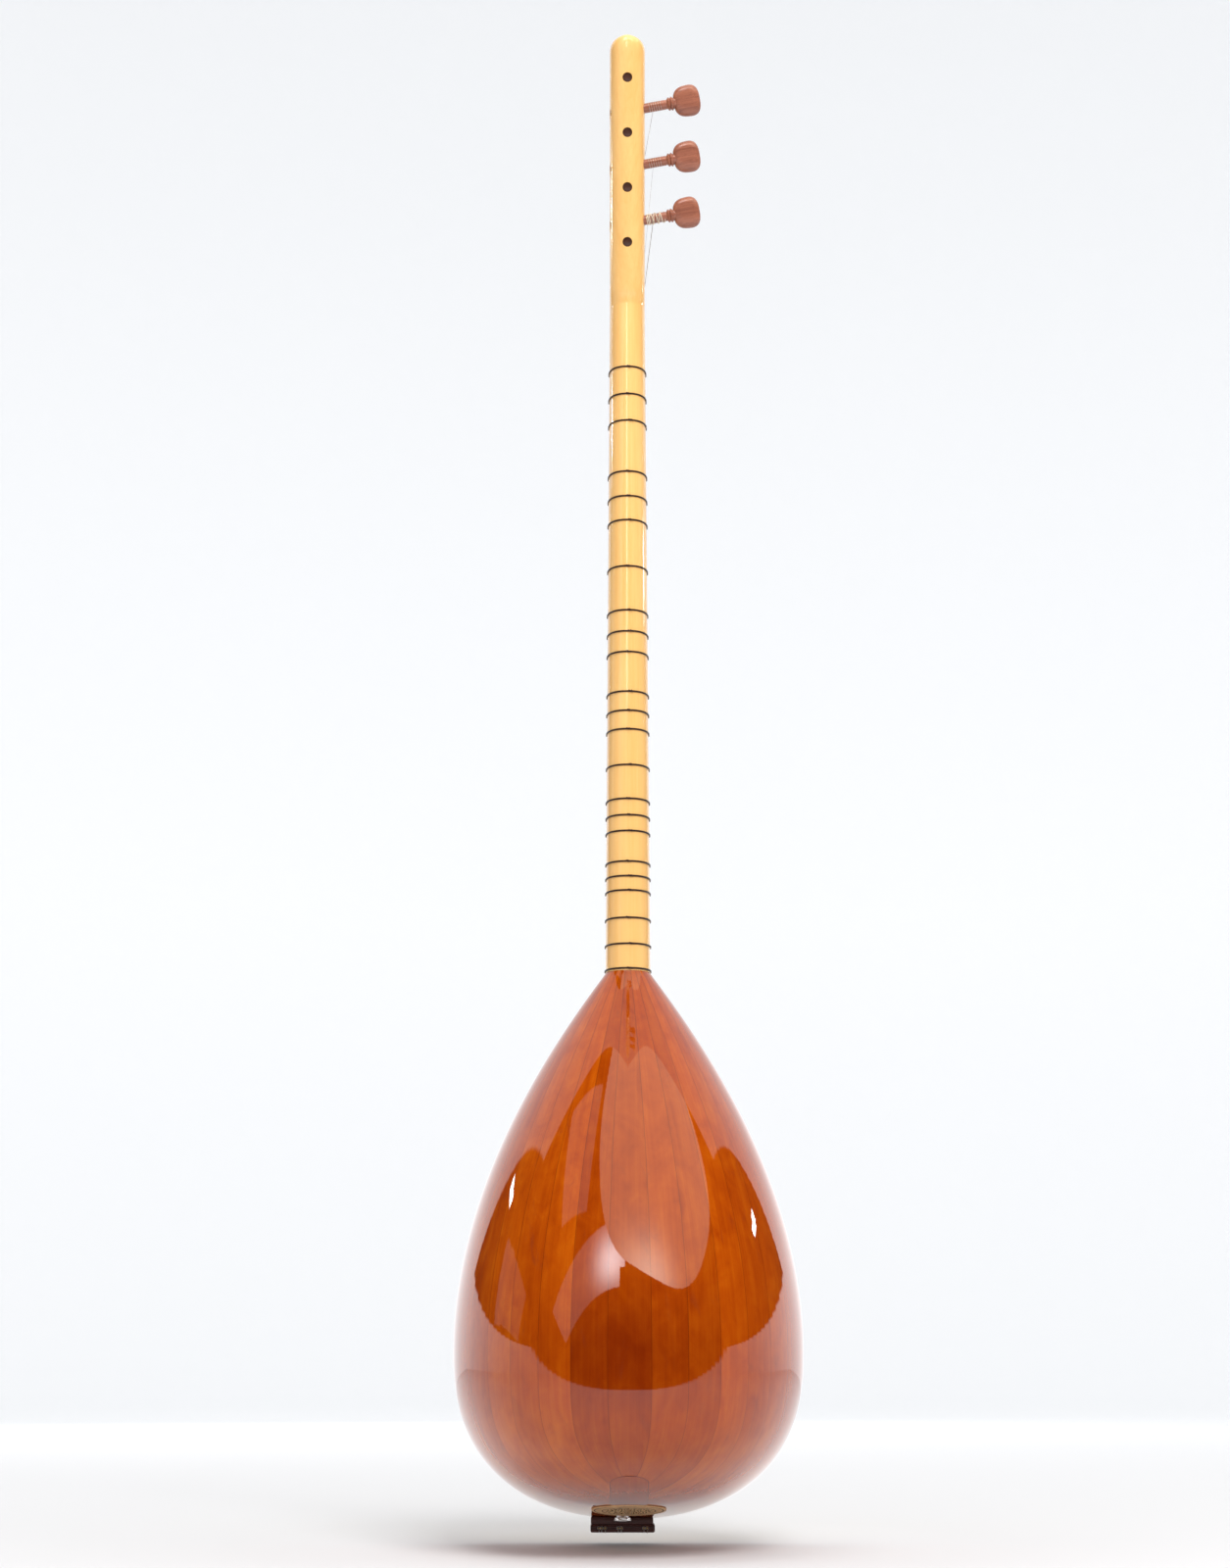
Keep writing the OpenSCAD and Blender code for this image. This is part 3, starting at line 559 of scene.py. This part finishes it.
def cap_part(name, y_from, y_to, round_top):
    """A length of the thin strip that covers the staves' ends, just proud of them."""
    rows = np.linspace(y_from, y_to, 16)
    if round_top:
        rows = y_from + (y_to - y_from) * np.sin(np.linspace(0, math.pi / 2, 46))
    cols = np.linspace(-1, 1, 15)
    grid = []
    for y in rows:
        w = CAP_HALF if y < CAP_REACH else math.sqrt(max(1, CAP_HALF ** 2 - (y - CAP_REACH) ** 2))
        grid.append(np.stack(np.broadcast_arrays(w * cols, y, under_z(w * cols, y)), 1))
    grid = np.stack(grid)
    n = bowl_normal(grid.reshape(-1, 3)).reshape(grid.shape)
    lift = .34 * np.ones(grid.shape[:2])
    lift[:, 0] = lift[:, -1] = .05
    if round_top:
        lift[-1] = .05
    outer, inner = grid + n * lift[..., None], grid - n * .5
    # the dark line round the strip is wider than a glue line
    x, y = grid[..., 0], grid[..., 1]
    inwards = CAP_HALF - np.where(y > CAP_REACH, np.hypot(x, y - CAP_REACH), np.abs(x))
    edge = .42 * np.clip(inwards, 0, 9)
    grain = np.stack([outer[..., 0], edge, outer[..., 1]], 2).reshape(-1, 3)
    points, faces = shell(outer, inner)
    obj = make(name, points, faces, LACQUER, ROOT, ("tail_cap",),
               {"grain": np.concatenate([grain, grain]), "tone": np.full(len(points), .83),
                "shade": np.full(len(points), .48)})
    surface_normals(obj)


cap_part("cap_strip_upper", 88, CAP_REACH + CAP_HALF, True)
cap_part("cap_strip_lower", TAIL_BACK + .3, 41.5, False)


def rosette():
    """A pierced disc of thin wood that follows the bowl."""
    curve = bpy.data.curves.new("rosette_outline", "CURVE")
    curve.dimensions, curve.fill_mode = "2D", "BOTH"
    curve.extrude, curve.bevel_depth, curve.bevel_resolution = .26, .12, 1

    def ring(points):
        s = curve.splines.new("POLY")
        s.points.add(len(points) - 1)
        s.use_cyclic_u = True
        for p, (x, y) in zip(s.points, points):
            p.co = (x, y, 0, 1)

    def circle(out, turn, r, n):
        turns = [2 * math.pi * i / n for i in range(n)]
        cx, cy = out * math.cos(turn), out * math.sin(turn)
        return [(cx + r * math.cos(a), cy + r * math.sin(a)) for a in turns]

    def petal(angle, near, far, half, n=11):
        c, s = math.cos(angle), math.sin(angle)
        side = [(near + (far - near) * t, half * math.sin(math.pi * t ** .8)) for t in np.linspace(0, 1, n)]
        shape = side + [(a, -b) for a, b in side[-2:0:-1]]
        return [(a * c - b * s, a * s + b * c) for a, b in shape]

    ring(circle(0, 0, ROSETTE_R - .15, 160))
    for i in range(8):
        a = 2 * math.pi * i / 8
        ring(petal(a, 3.2, 10.8, 1.9))
        ring(petal(a + math.pi / 8, 8.8, 17.8, 2.9))
        ring(circle(14.2, a, 1.5, 20))
        ring(circle(18.3, a, 1., 16))
    ring(circle(0, 0, 1.5, 24))
    for i in range(40):
        ring(circle(22.6, 2 * math.pi * i / 40, .8, 12))
    temp = bpy.data.objects.new("rosette_outline", curve)
    bpy.context.scene.collection.objects.link(temp)
    bpy.context.view_layer.update()
    flat = bpy.data.meshes.new_from_object(temp.evaluated_get(bpy.context.evaluated_depsgraph_get()))
    bpy.data.objects.remove(temp)
    bm = bmesh.new()
    bm.from_mesh(flat)
    bmesh.ops.remove_doubles(bm, verts=bm.verts, dist=.004)
    # cut the long triangles so that the disc can follow the bowl
    for axis in ((1, 0, 0), (0, 1, 0)):
        for d in range(-24, 25, 6):
            bmesh.ops.bisect_plane(bm, geom=bm.verts[:] + bm.edges[:] + bm.faces[:],
                                   plane_co=[d * v for v in axis], plane_no=axis)
    here = np.array([v.co for v in bm.verts])
    faces = [[v.index for v in f.verts] for f in bm.faces]
    bm.free()
    x, y = here[:, 0], ROSETTE_Y + here[:, 1] * math.cos(tail_lean(ROSETTE_Y))
    foot = np.stack([x, y, under_z(x, y)], 1)
    points = foot + bowl_normal(foot) * (.55 - here[:, 2])[:, None]
    make("pierced_rosette", points, faces, ROSETTE_WOOD, ROOT, ("tail_rosette",),
         {"grain": here}, sharp=40)


rosette()


# ---------------------------------------------------------------- neck and head
def rounded_section(half, rise, front, corner, start):
    """Outline in x and y: flat front, rounded front corners, and a back that is a superellipse."""
    t = np.radians(np.linspace(0, 90, 6))
    x, y = section(half, rise, np.linspace(90, -90, 84))
    side_x, side_y = half - corner + corner * np.sin(t), front + corner - corner * np.cos(t)
    flat = np.linspace(corner - half, half - corner, 12)[1:-1]
    return np.stack([np.concatenate([side_x, x, -side_x[::-1], flat]),
                     np.concatenate([side_y, y + start, side_y[::-1], np.full(10, front)])], 1)


def at_height(outline, z):
    return np.column_stack([outline, np.full(len(outline), z)])


def neck_ring(z):
    return at_height(rounded_section(neck_half(z), neck_depth(z), -BOARD_T, .7, 0), z)


def neck():
    points, faces = loft([neck_ring(z) for z in np.linspace(BOWL_LEN, NECK_TOP, 70)])
    make("neck_shaft", points, faces, NECK_WOOD, ROOT, ("neck",), sharp=50)
    # the tenon reaches into the block, as in the CAD
    x, y0, y1, z0, z1 = 6, 3, 17, BOWL_LEN - 30, BOWL_LEN + .5
    rings = [np.array([(-x + g, y0 + g, z), (x - g, y0 + g, z), (x - g, y1 - g, z), (-x + g, y1 - g, z)])
             for z, g in ((z0, .8), (z0 + .8, 0), (z1, 0))]
    points, faces = loft(rings)
    make("neck_tenon", points, faces, INNER, ROOT, (), sharp=30)


neck()
HEAD = (Matrix.Translation((0, neck_depth(NECK_TOP), NECK_TOP))
        @ Matrix.Rotation(math.radians(-HEAD_TILT), 4, "X") @ Matrix.Translation((0, -HEAD_T, -6)))
FRONT_PEGS = [HEAD @ Matrix.Translation((0, 0, FRONT_AT + FRONT_STEP * i))
              @ Matrix.Rotation(math.pi / 2, 4, "X") for i in range(4)]
SIDE_PEGS = [HEAD @ Matrix.Translation((-HEAD_HALF, SIDE_H, SIDE_AT + SIDE_STEP * i))
             @ Matrix.Rotation(math.radians(SIDE_LEAN - 90), 4, "Y") for i in range(3)]


HEAD_TOP = HEAD_LEN - HEAD_HALF


def head_ring(s):
    """The head's outline at a distance s up its own front. The tip is rounded over from both faces."""
    turn = max(.002, 1 - max(0, (s - HEAD_TOP) / HEAD_HALF) ** 2.6) ** (1 / 2.6)
    rise, front = 17 * (.55 + .45 * turn ** .7), 3.2 * (1 - turn) ** 1.4
    return placed(HEAD, at_height(rounded_section(HEAD_HALF * turn, rise, front, 3 * turn, 5), s))


def head():
    """The head grows out of the neck's end without a step, in a blend that stays under the strings."""
    start, reach = 18, 9
    a, b = neck_ring(NECK_TOP), head_ring(start)
    lift_a = np.array([0, 0, reach])
    lift_b = np.array(HEAD.to_3x3() @ Vector((0, 0, reach)))
    rings = [(2 * t ** 3 - 3 * t ** 2 + 1) * a + (t ** 3 - 2 * t ** 2 + t) * lift_a
             + (3 * t ** 2 - 2 * t ** 3) * b + (t ** 3 - t ** 2) * lift_b for t in np.linspace(0, 1, 18)[:-1]]
    stations = list(np.linspace(start, HEAD_TOP, 100))
    stations += [HEAD_TOP + HEAD_HALF * math.sin(t) for t in np.radians(np.linspace(3, 88.5, 26))]
    points, faces = loft(rings + [head_ring(s) for s in stations])
    obj = make("head", points, faces, NECK_WOOD, ROOT, ("headstock",))
    for m in FRONT_PEGS:
        carve(obj, *rod(m, BORE_R, -HEAD_T - 5, 5))
    for m in SIDE_PEGS:
        carve(obj, *rod(m, BORE_R, -2 * HEAD_HALF - 6, 6))
    obj.data.polygons.foreach_set("use_smooth", [True] * len(obj.data.polygons))
    obj.data.set_sharp_from_angle(angle=math.radians(35))


head()


# ---------------------------------------------------------------- tied frets
def fret_path(z, grow):
    """A closed line round the neck, so far outside its surface."""
    w, d = neck_half(z) + grow, neck_depth(z) + grow
    x, y = section(w, d, np.linspace(90, -90, 76))
    r, front = 1.2, -BOARD_T - grow
    turn = np.radians(np.linspace(0, 90, 5))
    pts = [(q, front) for q in np.linspace(-w + r, w - r, 14)]
    pts += [(w - r + r * math.sin(t), front + r - r * math.cos(t)) for t in turn[1:]]
    pts += list(zip(x, y))
    pts += [(-(w - r + r * math.sin(t)), front + r - r * math.cos(t)) for t in turn[:0:-1]]
    return np.array([(px, py, z) for px, py in pts])


def knot(centre, size, lean):
    """A small overhand knot."""
    t = np.linspace(0, 2 * math.pi, 44, endpoint=False)
    x = (np.sin(t) + 2 * np.sin(2 * t)) * size
    z = (np.cos(t) - 2 * np.cos(2 * t)) * size * .8
    y = -np.sin(3 * t) * size * .8
    c, s = math.cos(lean), math.sin(lean)
    path = np.stack([x * c - z * s, y, x * s + z * c], 1) + centre
    return tube(path, .36, 7, True)


for i, step in enumerate(STEPS):
    z = NUT_Z - SCALE_LEN * (1 - 2 ** (-step / 12))
    line_r, play = .38, .08
    parts = [tube(fret_path(z + side * .37, play + line_r), line_r, 8, True) for side in (-1, 1)]
    x = -1.6 + 1.2 * math.sin(2.3 * i)
    y = neck_depth(z) * (1 - (abs(x) / neck_half(z)) ** POWER) ** (1 / POWER)
    parts.append(knot(np.array([x, y + 1.0, z]), .30, .5 * math.sin(3 * i)))
    # the line's two cut ends beside the knot
    for side in (-1, 1):
        end = [(x, y + 1.0, z), (x + side * .9, y + 1.05, z + .5 * side),
               (x + side * 1.9, y + .95, z + .9 * side)]
        parts.append(tube(end, .3, 6))
    points, faces, grain = joined(*parts)
    name = "fret_%02d" % (i + 1)
    make(name + "_tied", points, faces, NYLON, name, (name,), {"grain": grain})


# ---------------------------------------------------------------- pegs
def peg_outline(count=72):
    """Rounded square, a little narrower towards the shaft: distance across and distance along."""
    t = 2 * math.pi * np.arange(count) / count
    along, across = np.cos(t), np.sin(t)
    along, across = np.sign(along) * np.abs(along) ** .72, np.sign(across) * np.abs(across) ** .72
    return np.stack([12.9 * across * (1 + .07 * along), 35.2 + 11.2 * along], 1)


def peg(name, matrix, inside):
    """A shaft with two turned collars and a flattened knob. inside is how far it reaches into the head."""
    a = 2 * math.pi * np.arange(40) / 40
    # distance along the shaft and radius
    profile = [(-inside + .5, 3.3), (-inside + .9, 3.95), (-inside + 2, PEG_R), (0, PEG_R), (17.4, PEG_R),
               (18.3, 3.7), (18.9, 4.3), (19.5, 5.2), (20.2, 5.6), (20.9, 5.2), (21.3, 4.5), (21.7, 5.1),
               (22.3, 5.75), (22.9, 5.75), (23.5, 5.1), (23.9, 4.4), (24.6, 4.5), (27, 4.2)]
    rings = [np.stack([r * np.cos(a), r * np.sin(a), np.full(40, z)], 1) for z, r in profile]
    points, faces = loft(rings)
    outline = peg_outline()
    middle = outline.mean(0)
    layers = []
    for t in np.linspace(-1, 1, 23):
        angle = t * math.pi / 2 * .985
        share = max(.04, math.cos(angle)) ** .46
        xy = middle + (outline - middle) * share
        layers.append(np.stack([xy[:, 0], np.full(len(xy), 5.4 * math.sin(angle)), xy[:, 1]], 1))
    p2, f2 = loft(layers)
    points, faces, grain = joined((points, faces, points), (p2, f2, p2))
    # every peg is cut from another place in the wood, and its tip inside the head is painted near black: dark
    # end grain with painted shade of the bore
    shift = np.array([ord(name[-1]) * 13., len(name) * 7., 0])
    make(name + "_turned", placed(matrix, points), faces, PEG_WOOD, name, (name,),
         {"grain": grain + shift, "scorch": .88 * (grain[:, 2] < 1.2 - inside)}, sharp=55)


def winding(name, body, matrix, low, high, turns, radius, material, lean=0., at=PEG_R):
    """A helix of string or thread round a peg's shaft. It turns with the peg."""
    t = np.linspace(0, 1, int(turns * 22) + 2)
    a = 2 * math.pi * turns * t + lean
    r = at + radius
    path = np.stack([r * np.cos(a), r * np.sin(a), low + (high - low) * t], 1)
    points, faces, grain = tube(placed(matrix, path), radius, 6)
    make(name, points, faces, material, body, (), {"grain": grain})


for i, m in enumerate(FRONT_PEGS):
    name = "front_peg_%d" % (i + 1)
    peg(name, m @ Matrix.Rotation(math.pi / 2, 4, "Z"), HEAD_T - 1)
    winding("winding_front_%d" % (i + 1), name, m, 4.6, 9.4, 9, .22, STEEL)
for i, m in enumerate(SIDE_PEGS):
    name = "side_peg_%d" % (i + 1)
    peg(name, m, 2 * HEAD_HALF / math.cos(math.radians(SIDE_LEAN)) - 1)
    winding("winding_side_%d" % (i + 1), name, m, 3.0, 14.5, 6, .16, STEEL)
winding("thread_up", "side_peg_1", SIDE_PEGS[0], 1.6, 16.6, 4, .30, THREAD, 0, 4.1)
winding("thread_back", "side_peg_1", SIDE_PEGS[0], 16.6, 4.4, 2.5, .28, THREAD, 2.2, 4.4)
winding("thread_close", "side_peg_1", SIDE_PEGS[0], 1.4, 5.2, 3, .28, THREAD, 1.1, 4.3)


# ---------------------------------------------------------------- strings
def head_point(x, h, s):
    """A point h above the head's front and s up along it."""
    return np.array(HEAD @ Vector((x, -h, s)))


def at_peg(n):
    """The last points of string n: four strings end at front pegs, three at side pegs."""
    if n < 4:
        i = 0 if n == 3 else 3 - n
        return [head_point(WOUND_R, 7, FRONT_AT + FRONT_STEP * i - 1)]
    i = 6 - n
    out = 7
    far = head_point(-HEAD_HALF - out, WOUND_R + .25 - SIDE_H,
                     SIDE_AT + SIDE_STEP * i + out * math.tan(math.radians(SIDE_LEAN)) - 1)
    # the string to the highest side peg runs over the head's front first
    return [head_point(-12.4, .5, 118), far] if n == 4 else [far]


def rounded(route, radius, count=5):
    """The route with its bends made round."""
    out = [route[0]]
    for a, b, c in zip(route, route[1:], route[2:]):
        u, v = a - b, c - b
        r = min(radius, np.linalg.norm(u) * .45, np.linalg.norm(v) * .45)
        p, q = b + u / np.linalg.norm(u) * r, b + v / np.linalg.norm(v) * r
        out += [(1 - t) ** 2 * p + 2 * t * (1 - t) * b + t * t * q for t in np.linspace(0, 1, count)]
    return np.array(out + [route[-1]])


COURSE = [("strings_bottom_course", (0, 1, 2)), ("strings_middle_course", (3, 4)),
          ("strings_top_course", (5, 6))]
for node, members in COURSE:
    for n in members:
        nut_x, bridge_x, tail_x, r = STRINGS[n]
        gap = .3 + r
        pin = np.array([tail_x, TAIL_BACK + gap, TAIL_LOW + 3.4])
        route = [np.array(p, float) for p in (
            (tail_x, TAIL_BACK + gap, TAIL_LOW + 2.0), (tail_x, TAIL_BACK + gap, TAIL_LOW - gap),
            (tail_x, TAIL_FRONT - gap, TAIL_LOW - gap), (tail_x, TAIL_FRONT - gap, -1.5),
            (bridge_x, STRING_Y_BRIDGE, BRIDGE_Z), (nut_x, STRING_Y_NUT, NUT_Z),
            (nut_x, STRING_Y_NUT, NUT_Z + 4.5))] + at_peg(n)
        a = np.linspace(0, 2 * math.pi, 20, endpoint=False)
        loop = pin + np.stack([1.15 * np.sin(a), 0 * a, 1.3 * np.cos(a)], 1)
        body = tube(rounded(route, 1.2), r, 8)
        twist = np.linspace(0, 1, 26)
        wrap = np.stack([tail_x + (r + .1) * np.cos(18 * twist), pin[1] + (r + .1) * np.sin(18 * twist),
                         pin[2] - 1.2 - 2.2 * twist], 1)
        points, faces, grain = joined(body, tube(loop, .13, 6, True), tube(wrap, .1, 5))
        make("string_%d" % (n + 1), points, faces, WOUND if r > .2 else STEEL, ROOT, (node,),
             {"grain": grain})


# ---------------------------------------------------------------- tailpiece
def tail_band(name, left, right, low, high, notched):
    """One band of the tailpiece from x = left to right. high None follows the bowl's underside."""
    def ring(x, notch, inset):
        def top(y):
            return high - inset if high is not None else float(under_z(x, max(y, .01))) - .4 - inset

        back, front, bottom = TAIL_BACK - inset - notch, TAIL_FRONT + inset, low + inset
        pts = [(front + 1.2, bottom), (8, bottom), (back - 1.1, bottom), (back - .3, bottom + .35),
               (back, bottom + .9)]
        # fine grooves run along the back of the notched band
        for z in ((low + 1.9, low + 3.3, low + 4.7) if notched else ()):
            pts += [(back, z - .22), (back - .2, z), (back, z + .22)]
        pts += [(back, top(back) - .8), (back - .3, top(back) - .25), (back - 1.1, top(back)), (10, top(10)),
                (0, top(0)), (front + 1, top(0) - .5), (front + .25, top(0) - .9), (front, top(0) - 1.7),
                (front, bottom + 1.1), (front + .35, bottom + .35)]
        return np.array([(x, y, z) for y, z in pts])

    cuts = [s[2] for s in STRINGS] if notched else []
    ends = [(0, 1.3), (.15, .75), (.5, .3), (1.1, 0)]
    stops = {left + d: g for d, g in ends} | {right - d: g for d, g in ends}
    for c in cuts:
        stops |= {c + d: 0 for d in (-.62, -.42, .42, .62)}
    for x in np.linspace(left + 2.2, right - 2.2, 12):
        stops.setdefault(float(x), 0)
    points, faces = loft([ring(x, .5 if any(abs(x - c) < .5 for c in cuts) else 0, stops[x])
                          for x in sorted(stops)])
    make(name, points, faces, TAIL_WOOD, ROOT, ("tailpiece",),
         {"grain": points[:, [1, 2, 0]]}, sharp=32)


def tailpiece():
    """A smooth upper band fitted to the bowl, and a lower band notched for the strings."""
    left, right = TAIL_X - TAIL_W / 2, TAIL_X + TAIL_W / 2
    tail_band("tailpiece_upper", left + 1.2, right - .3, -2.7, None, False)
    tail_band("tailpiece_lower", left, right, TAIL_LOW, -2.4, True)


tailpiece()

# ---------------------------------------------------------------- CAD nodes that stay
KEPT = {"soundboard": SPRUCE, "edge_binding": DARK_WOOD, "hitch_pins": BRASS,
        "neck_block": INNER, "tail_block": INNER, "soundboard_braces": INNER, "side_linings": INNER,
        "jack_barrel": CHROME, "pickup_disc": BRASS, "pickup_lead": SLEEVE}
for node, material in KEPT.items():
    o = NODES[node]
    if not o.material_slots:
        o.data.materials.append(material)
    for s in o.material_slots:
        s.material = material


# ---------------------------------------------------------------- CAD shapes with their edges rounded
def softened(node, material, body, width):
    """A piece of the CAD node's shape whose sharp edges are rounded, in the node's place."""
    source = NODES[node]
    bm = bmesh.new()
    bm.from_mesh(source.data)
    bm.transform(source.matrix_world)
    bmesh.ops.remove_doubles(bm, verts=bm.verts, dist=1e-6)
    bmesh.ops.dissolve_limit(bm, angle_limit=.01, verts=bm.verts, edges=bm.edges)
    edges = [e for e in bm.edges if len(e.link_faces) == 2 and e.calc_face_angle(0) > math.radians(40)]
    bmesh.ops.bevel(bm, geom=edges, offset=width, segments=2, profile=.5, affect="EDGES", clamp_overlap=True)
    me = bpy.data.meshes.new(node + "_softened")
    bm.to_mesh(me)
    bm.free()
    me.polygons.foreach_set("use_smooth", [True] * len(me.polygons))
    me.set_sharp_from_angle(angle=math.radians(35))
    me.materials.append(material)
    obj = bpy.data.objects.new(node + "_softened", me)
    bpy.context.scene.collection.objects.link(obj)
    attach(obj, body)
    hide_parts(node)


softened("bridge", DARK_WOOD, "bridge", .0004)
softened("nut", BONE, ROOT, .0003)
softened("jack_nut", CHROME, ROOT, .0003)


# ---------------------------------------------------------------- room, light and camera
def stage_mesh(name, points, faces, material):
    me = bpy.data.meshes.new(name)
    me.from_pydata(np.asarray(points).tolist(), [], faces)
    me.polygons.foreach_set("use_smooth", [True] * len(me.polygons))
    me.materials.append(material)
    o = bpy.data.objects.new(name, me)
    bpy.context.scene.collection.objects.link(o)
    return o


def soft_spot(u, v, at_u, at_v, wide, high):
    """A soft spot, 1 in its middle."""
    return np.exp(-((u - at_u) / wide) ** 2 - ((v - at_v) / high) ** 2)


def in_panel(u, v, at_u, at_v, half_wide, half_high, turn):
    """Whether a direction meets a rectangular panel, turned by so many degrees."""
    c, w = math.cos(math.radians(turn)), math.sin(math.radians(turn))
    along, up = (u - at_u) * c + (v - at_v) * w, (v - at_v) * c - (u - at_u) * w
    return (np.abs(along) < half_wide) & (np.abs(up) < half_high)


def light_dome():
    """The studio as glossy surfaces see it: a dark room, a white backdrop, and lights and panels.

    u and v are degrees from the zenith, u towards +X and v towards the camera's side. The horizon
    is 90 degrees out.
    """
    az, el = np.radians(np.linspace(-180, 180, 721)[:-1]), np.linspace(-90, 90, 361)
    a, l = (g.ravel() for g in np.meshgrid(az, el))
    u, v = (90 - l) * np.sin(a), (90 - l) * np.cos(a)
    # the backdrop stands behind and reaches overhead
    backdrop_half, backdrop_slope, room_r, room_v = 47, .38, 90, 8
    in_room = np.hypot(u, v - room_v) < room_r
    open_room = in_room & ((np.abs(u) > backdrop_half) | (v > -backdrop_slope * np.abs(u)))
    behind = .92 + .40 * np.exp(-((l - 3) / 10) ** 2)
    glow = np.where(open_room, .02, behind)
    # a large round softbox overhead, brightest at the edge nearest the camera
    softbox = ((np.abs(u + 18.5) / 35) ** 2.3 + (np.abs(v - 18.5) / 34) ** 2.3 < 1) & open_room
    glow = np.where(softbox, 2. + 6.5 * soft_spot(u, v, -14, 52, 20, 13), glow)
    side = in_panel(u, v, 30, 8, 10, 14, -25)
    glow = np.where(side & open_room & ~softbox, .75, glow)
    front = in_panel(u, v, 34, 46, 32, 12, 0)
    glow = np.where(front & ~softbox, .9 + 12 * soft_spot(u, v, 11, 47, 12, 9), glow)
    low = in_panel(u, v, 75, -19, 8, 18, -20)
    glow = np.where(low & open_room, .4, glow)
    # two small strip lights at the sides
    for at_u, turn in ((52, 50), (-57, -50)):
        glow = np.where(in_panel(u, v, at_u, -42, 3.6, .8, turn), 26, glow)
    radius, centre = 9., np.array([0, .05, .25])
    e = np.radians(l)
    d = np.stack([np.sin(a) * np.cos(e), np.cos(a) * np.cos(e), np.sin(e)], 1)
    m = bpy.data.materials.new("dome_light")
    m.use_nodes = True
    t = m.node_tree
    t.nodes.clear()
    read = t.nodes.new("ShaderNodeAttribute")
    read.attribute_name = "glow"
    source = t.nodes.new("ShaderNodeEmission")
    out = t.nodes.new("ShaderNodeOutputMaterial")
    t.links.new(read.outputs["Color"], source.inputs["Color"])
    t.links.new(source.outputs[0], out.inputs[0])
    m.cycles.emission_sampling = "NONE"
    o = stage_mesh("light_dome", d * radius + centre, grid_faces(361, 720, 0, True), m)
    # the softbox's light is warmer than the rest
    warmth = np.where(softbox[:, None], (1, .88, .72), (.97, .98, 1))
    g = o.data.attributes.new("glow", "FLOAT_COLOR", "POINT")
    colours = np.column_stack([glow[:, None] * warmth, np.ones(len(glow))])
    g.data.foreach_set("color", colours.astype(np.float32).ravel())
    only_glossy(o)


def only_glossy(o):
    """Leaves the object visible in reflections alone."""
    o.visible_camera = o.visible_diffuse = o.visible_shadow = o.visible_transmission = False
    o.visible_volume_scatter = False


FLOOR_Z = -.018


def backdrop():
    """A round pale floor that turns up into a wall on every side."""
    flat, bend, top, sides = 4.6, 1.4, 7., 96
    profile = [(r, FLOOR_Z) for r in (.001, .5, 1.2, 2., 3., flat)]
    profile += [(flat + bend * math.sin(t), FLOOR_Z + bend - bend * math.cos(t))
                for t in np.linspace(.1, math.pi / 2, 14)]
    profile += [(flat + bend, 3.), (flat + bend, top)]
    turns = [2 * math.pi * i / sides for i in range(sides)]
    pts = [(r * math.cos(a), r * math.sin(a), z) for r, z in profile for a in turns]
    m = Nodes("pale_backdrop")
    pale, cool = (.62, .612, .610), (.93, .965, 1)
    x, y, _ = m.parts(m.add("ShaderNodeTexCoord").outputs["Object"])
    m.glow(cool, m.maths("MULTIPLY", m.between(m.hypot(x, y), .3, 3.), .42))
    paper = m.finish(pale, .9, spec=0.)
    o = stage_mesh("backdrop", pts, grid_faces(len(profile), sides, 0, True), paper)
    o.visible_glossy = False
    # the stretch of floor that shows in the lacquer, with the instrument's own shadow on it
    half, front, rear, lift = 2.2, 1.15, -3., .0004
    pts = [(x, y, FLOOR_Z + lift) for y in (rear, front) for x in (-half, half)]
    m = Nodes("reflected_paper")
    m.glow(cool, .3)
    only_glossy(stage_mesh("reflected_floor", pts, [(0, 1, 3, 2)], m.finish(pale, .9, spec=0.)))
    # an upright strip light on the camera's side, which shows as a soft line along the neck
    left, right, low, high, distance = .03, .25, 1.25, 2.2, 2.55
    m = Nodes("strip_light")
    m.glow((1, .95, .88), 8.)
    pts = [(x, distance, z) for z in (low, high) for x in (left, right)]
    strip = stage_mesh("strip_light", pts, [(0, 1, 3, 2)], m.finish((0, 0, 0), 1., spec=0.))
    only_glossy(strip)
    # it lights the neck and the head alone
    lit = bpy.data.collections.new("lit_by_strip")
    for name in ("neck_shaft", "head"):
        lit.objects.link(bpy.data.objects[name])
    strip.light_linking.receiver_collection = lit


light_dome()
backdrop()
world = bpy.data.worlds.new("room")
bpy.context.scene.world = world
world.use_nodes = True
world.node_tree.nodes["Background"].inputs[0].default_value = (.95, .975, 1, 1)
world.node_tree.nodes["Background"].inputs[1].default_value = .38


def lamp(name, place, aim, size, power):
    data = bpy.data.lights.new(name, "AREA")
    data.shape, data.size, data.energy = "SQUARE", size, power
    o = bpy.data.objects.new(name, data)
    bpy.context.scene.collection.objects.link(o)
    o.location = place
    o.rotation_euler = (Vector(aim) - Vector(place)).to_track_quat("-Z", "Y").to_euler()
    o.visible_glossy = False


lamp("key_overhead", (-.7, 2.2, 2.7), (0, 0, .7), 1.5, 80)
lamp("top", (0, .15, 3.3), (0, 0, 0), 2., 44)
lamp("soft_left", (2.6, .9, .9), (0, 0, .4), 1.8, 4)
lamp("soft_right", (-2.6, .9, .9), (0, 0, .4), 1.8, 6)
lamp("soft_front", (.5, -2.8, 1.3), (0, 0, .5), 1.8, 11)
lamp("floor_bounce", (0, 1.7, .15), (0, .1, .02), .3, 1.6)

camera = bpy.data.objects.new("camera", bpy.data.cameras.new("camera"))
bpy.context.scene.collection.objects.link(camera)
camera.data.lens, camera.data.sensor_width, camera.data.sensor_fit = 63, 36, "AUTO"
camera.location = (.0103, 2.1766, .1362)
camera.rotation_euler = (math.radians(101.42), 0, math.radians(180))
bpy.context.scene.camera = camera
bpy.context.scene.view_settings.view_transform = "Standard"
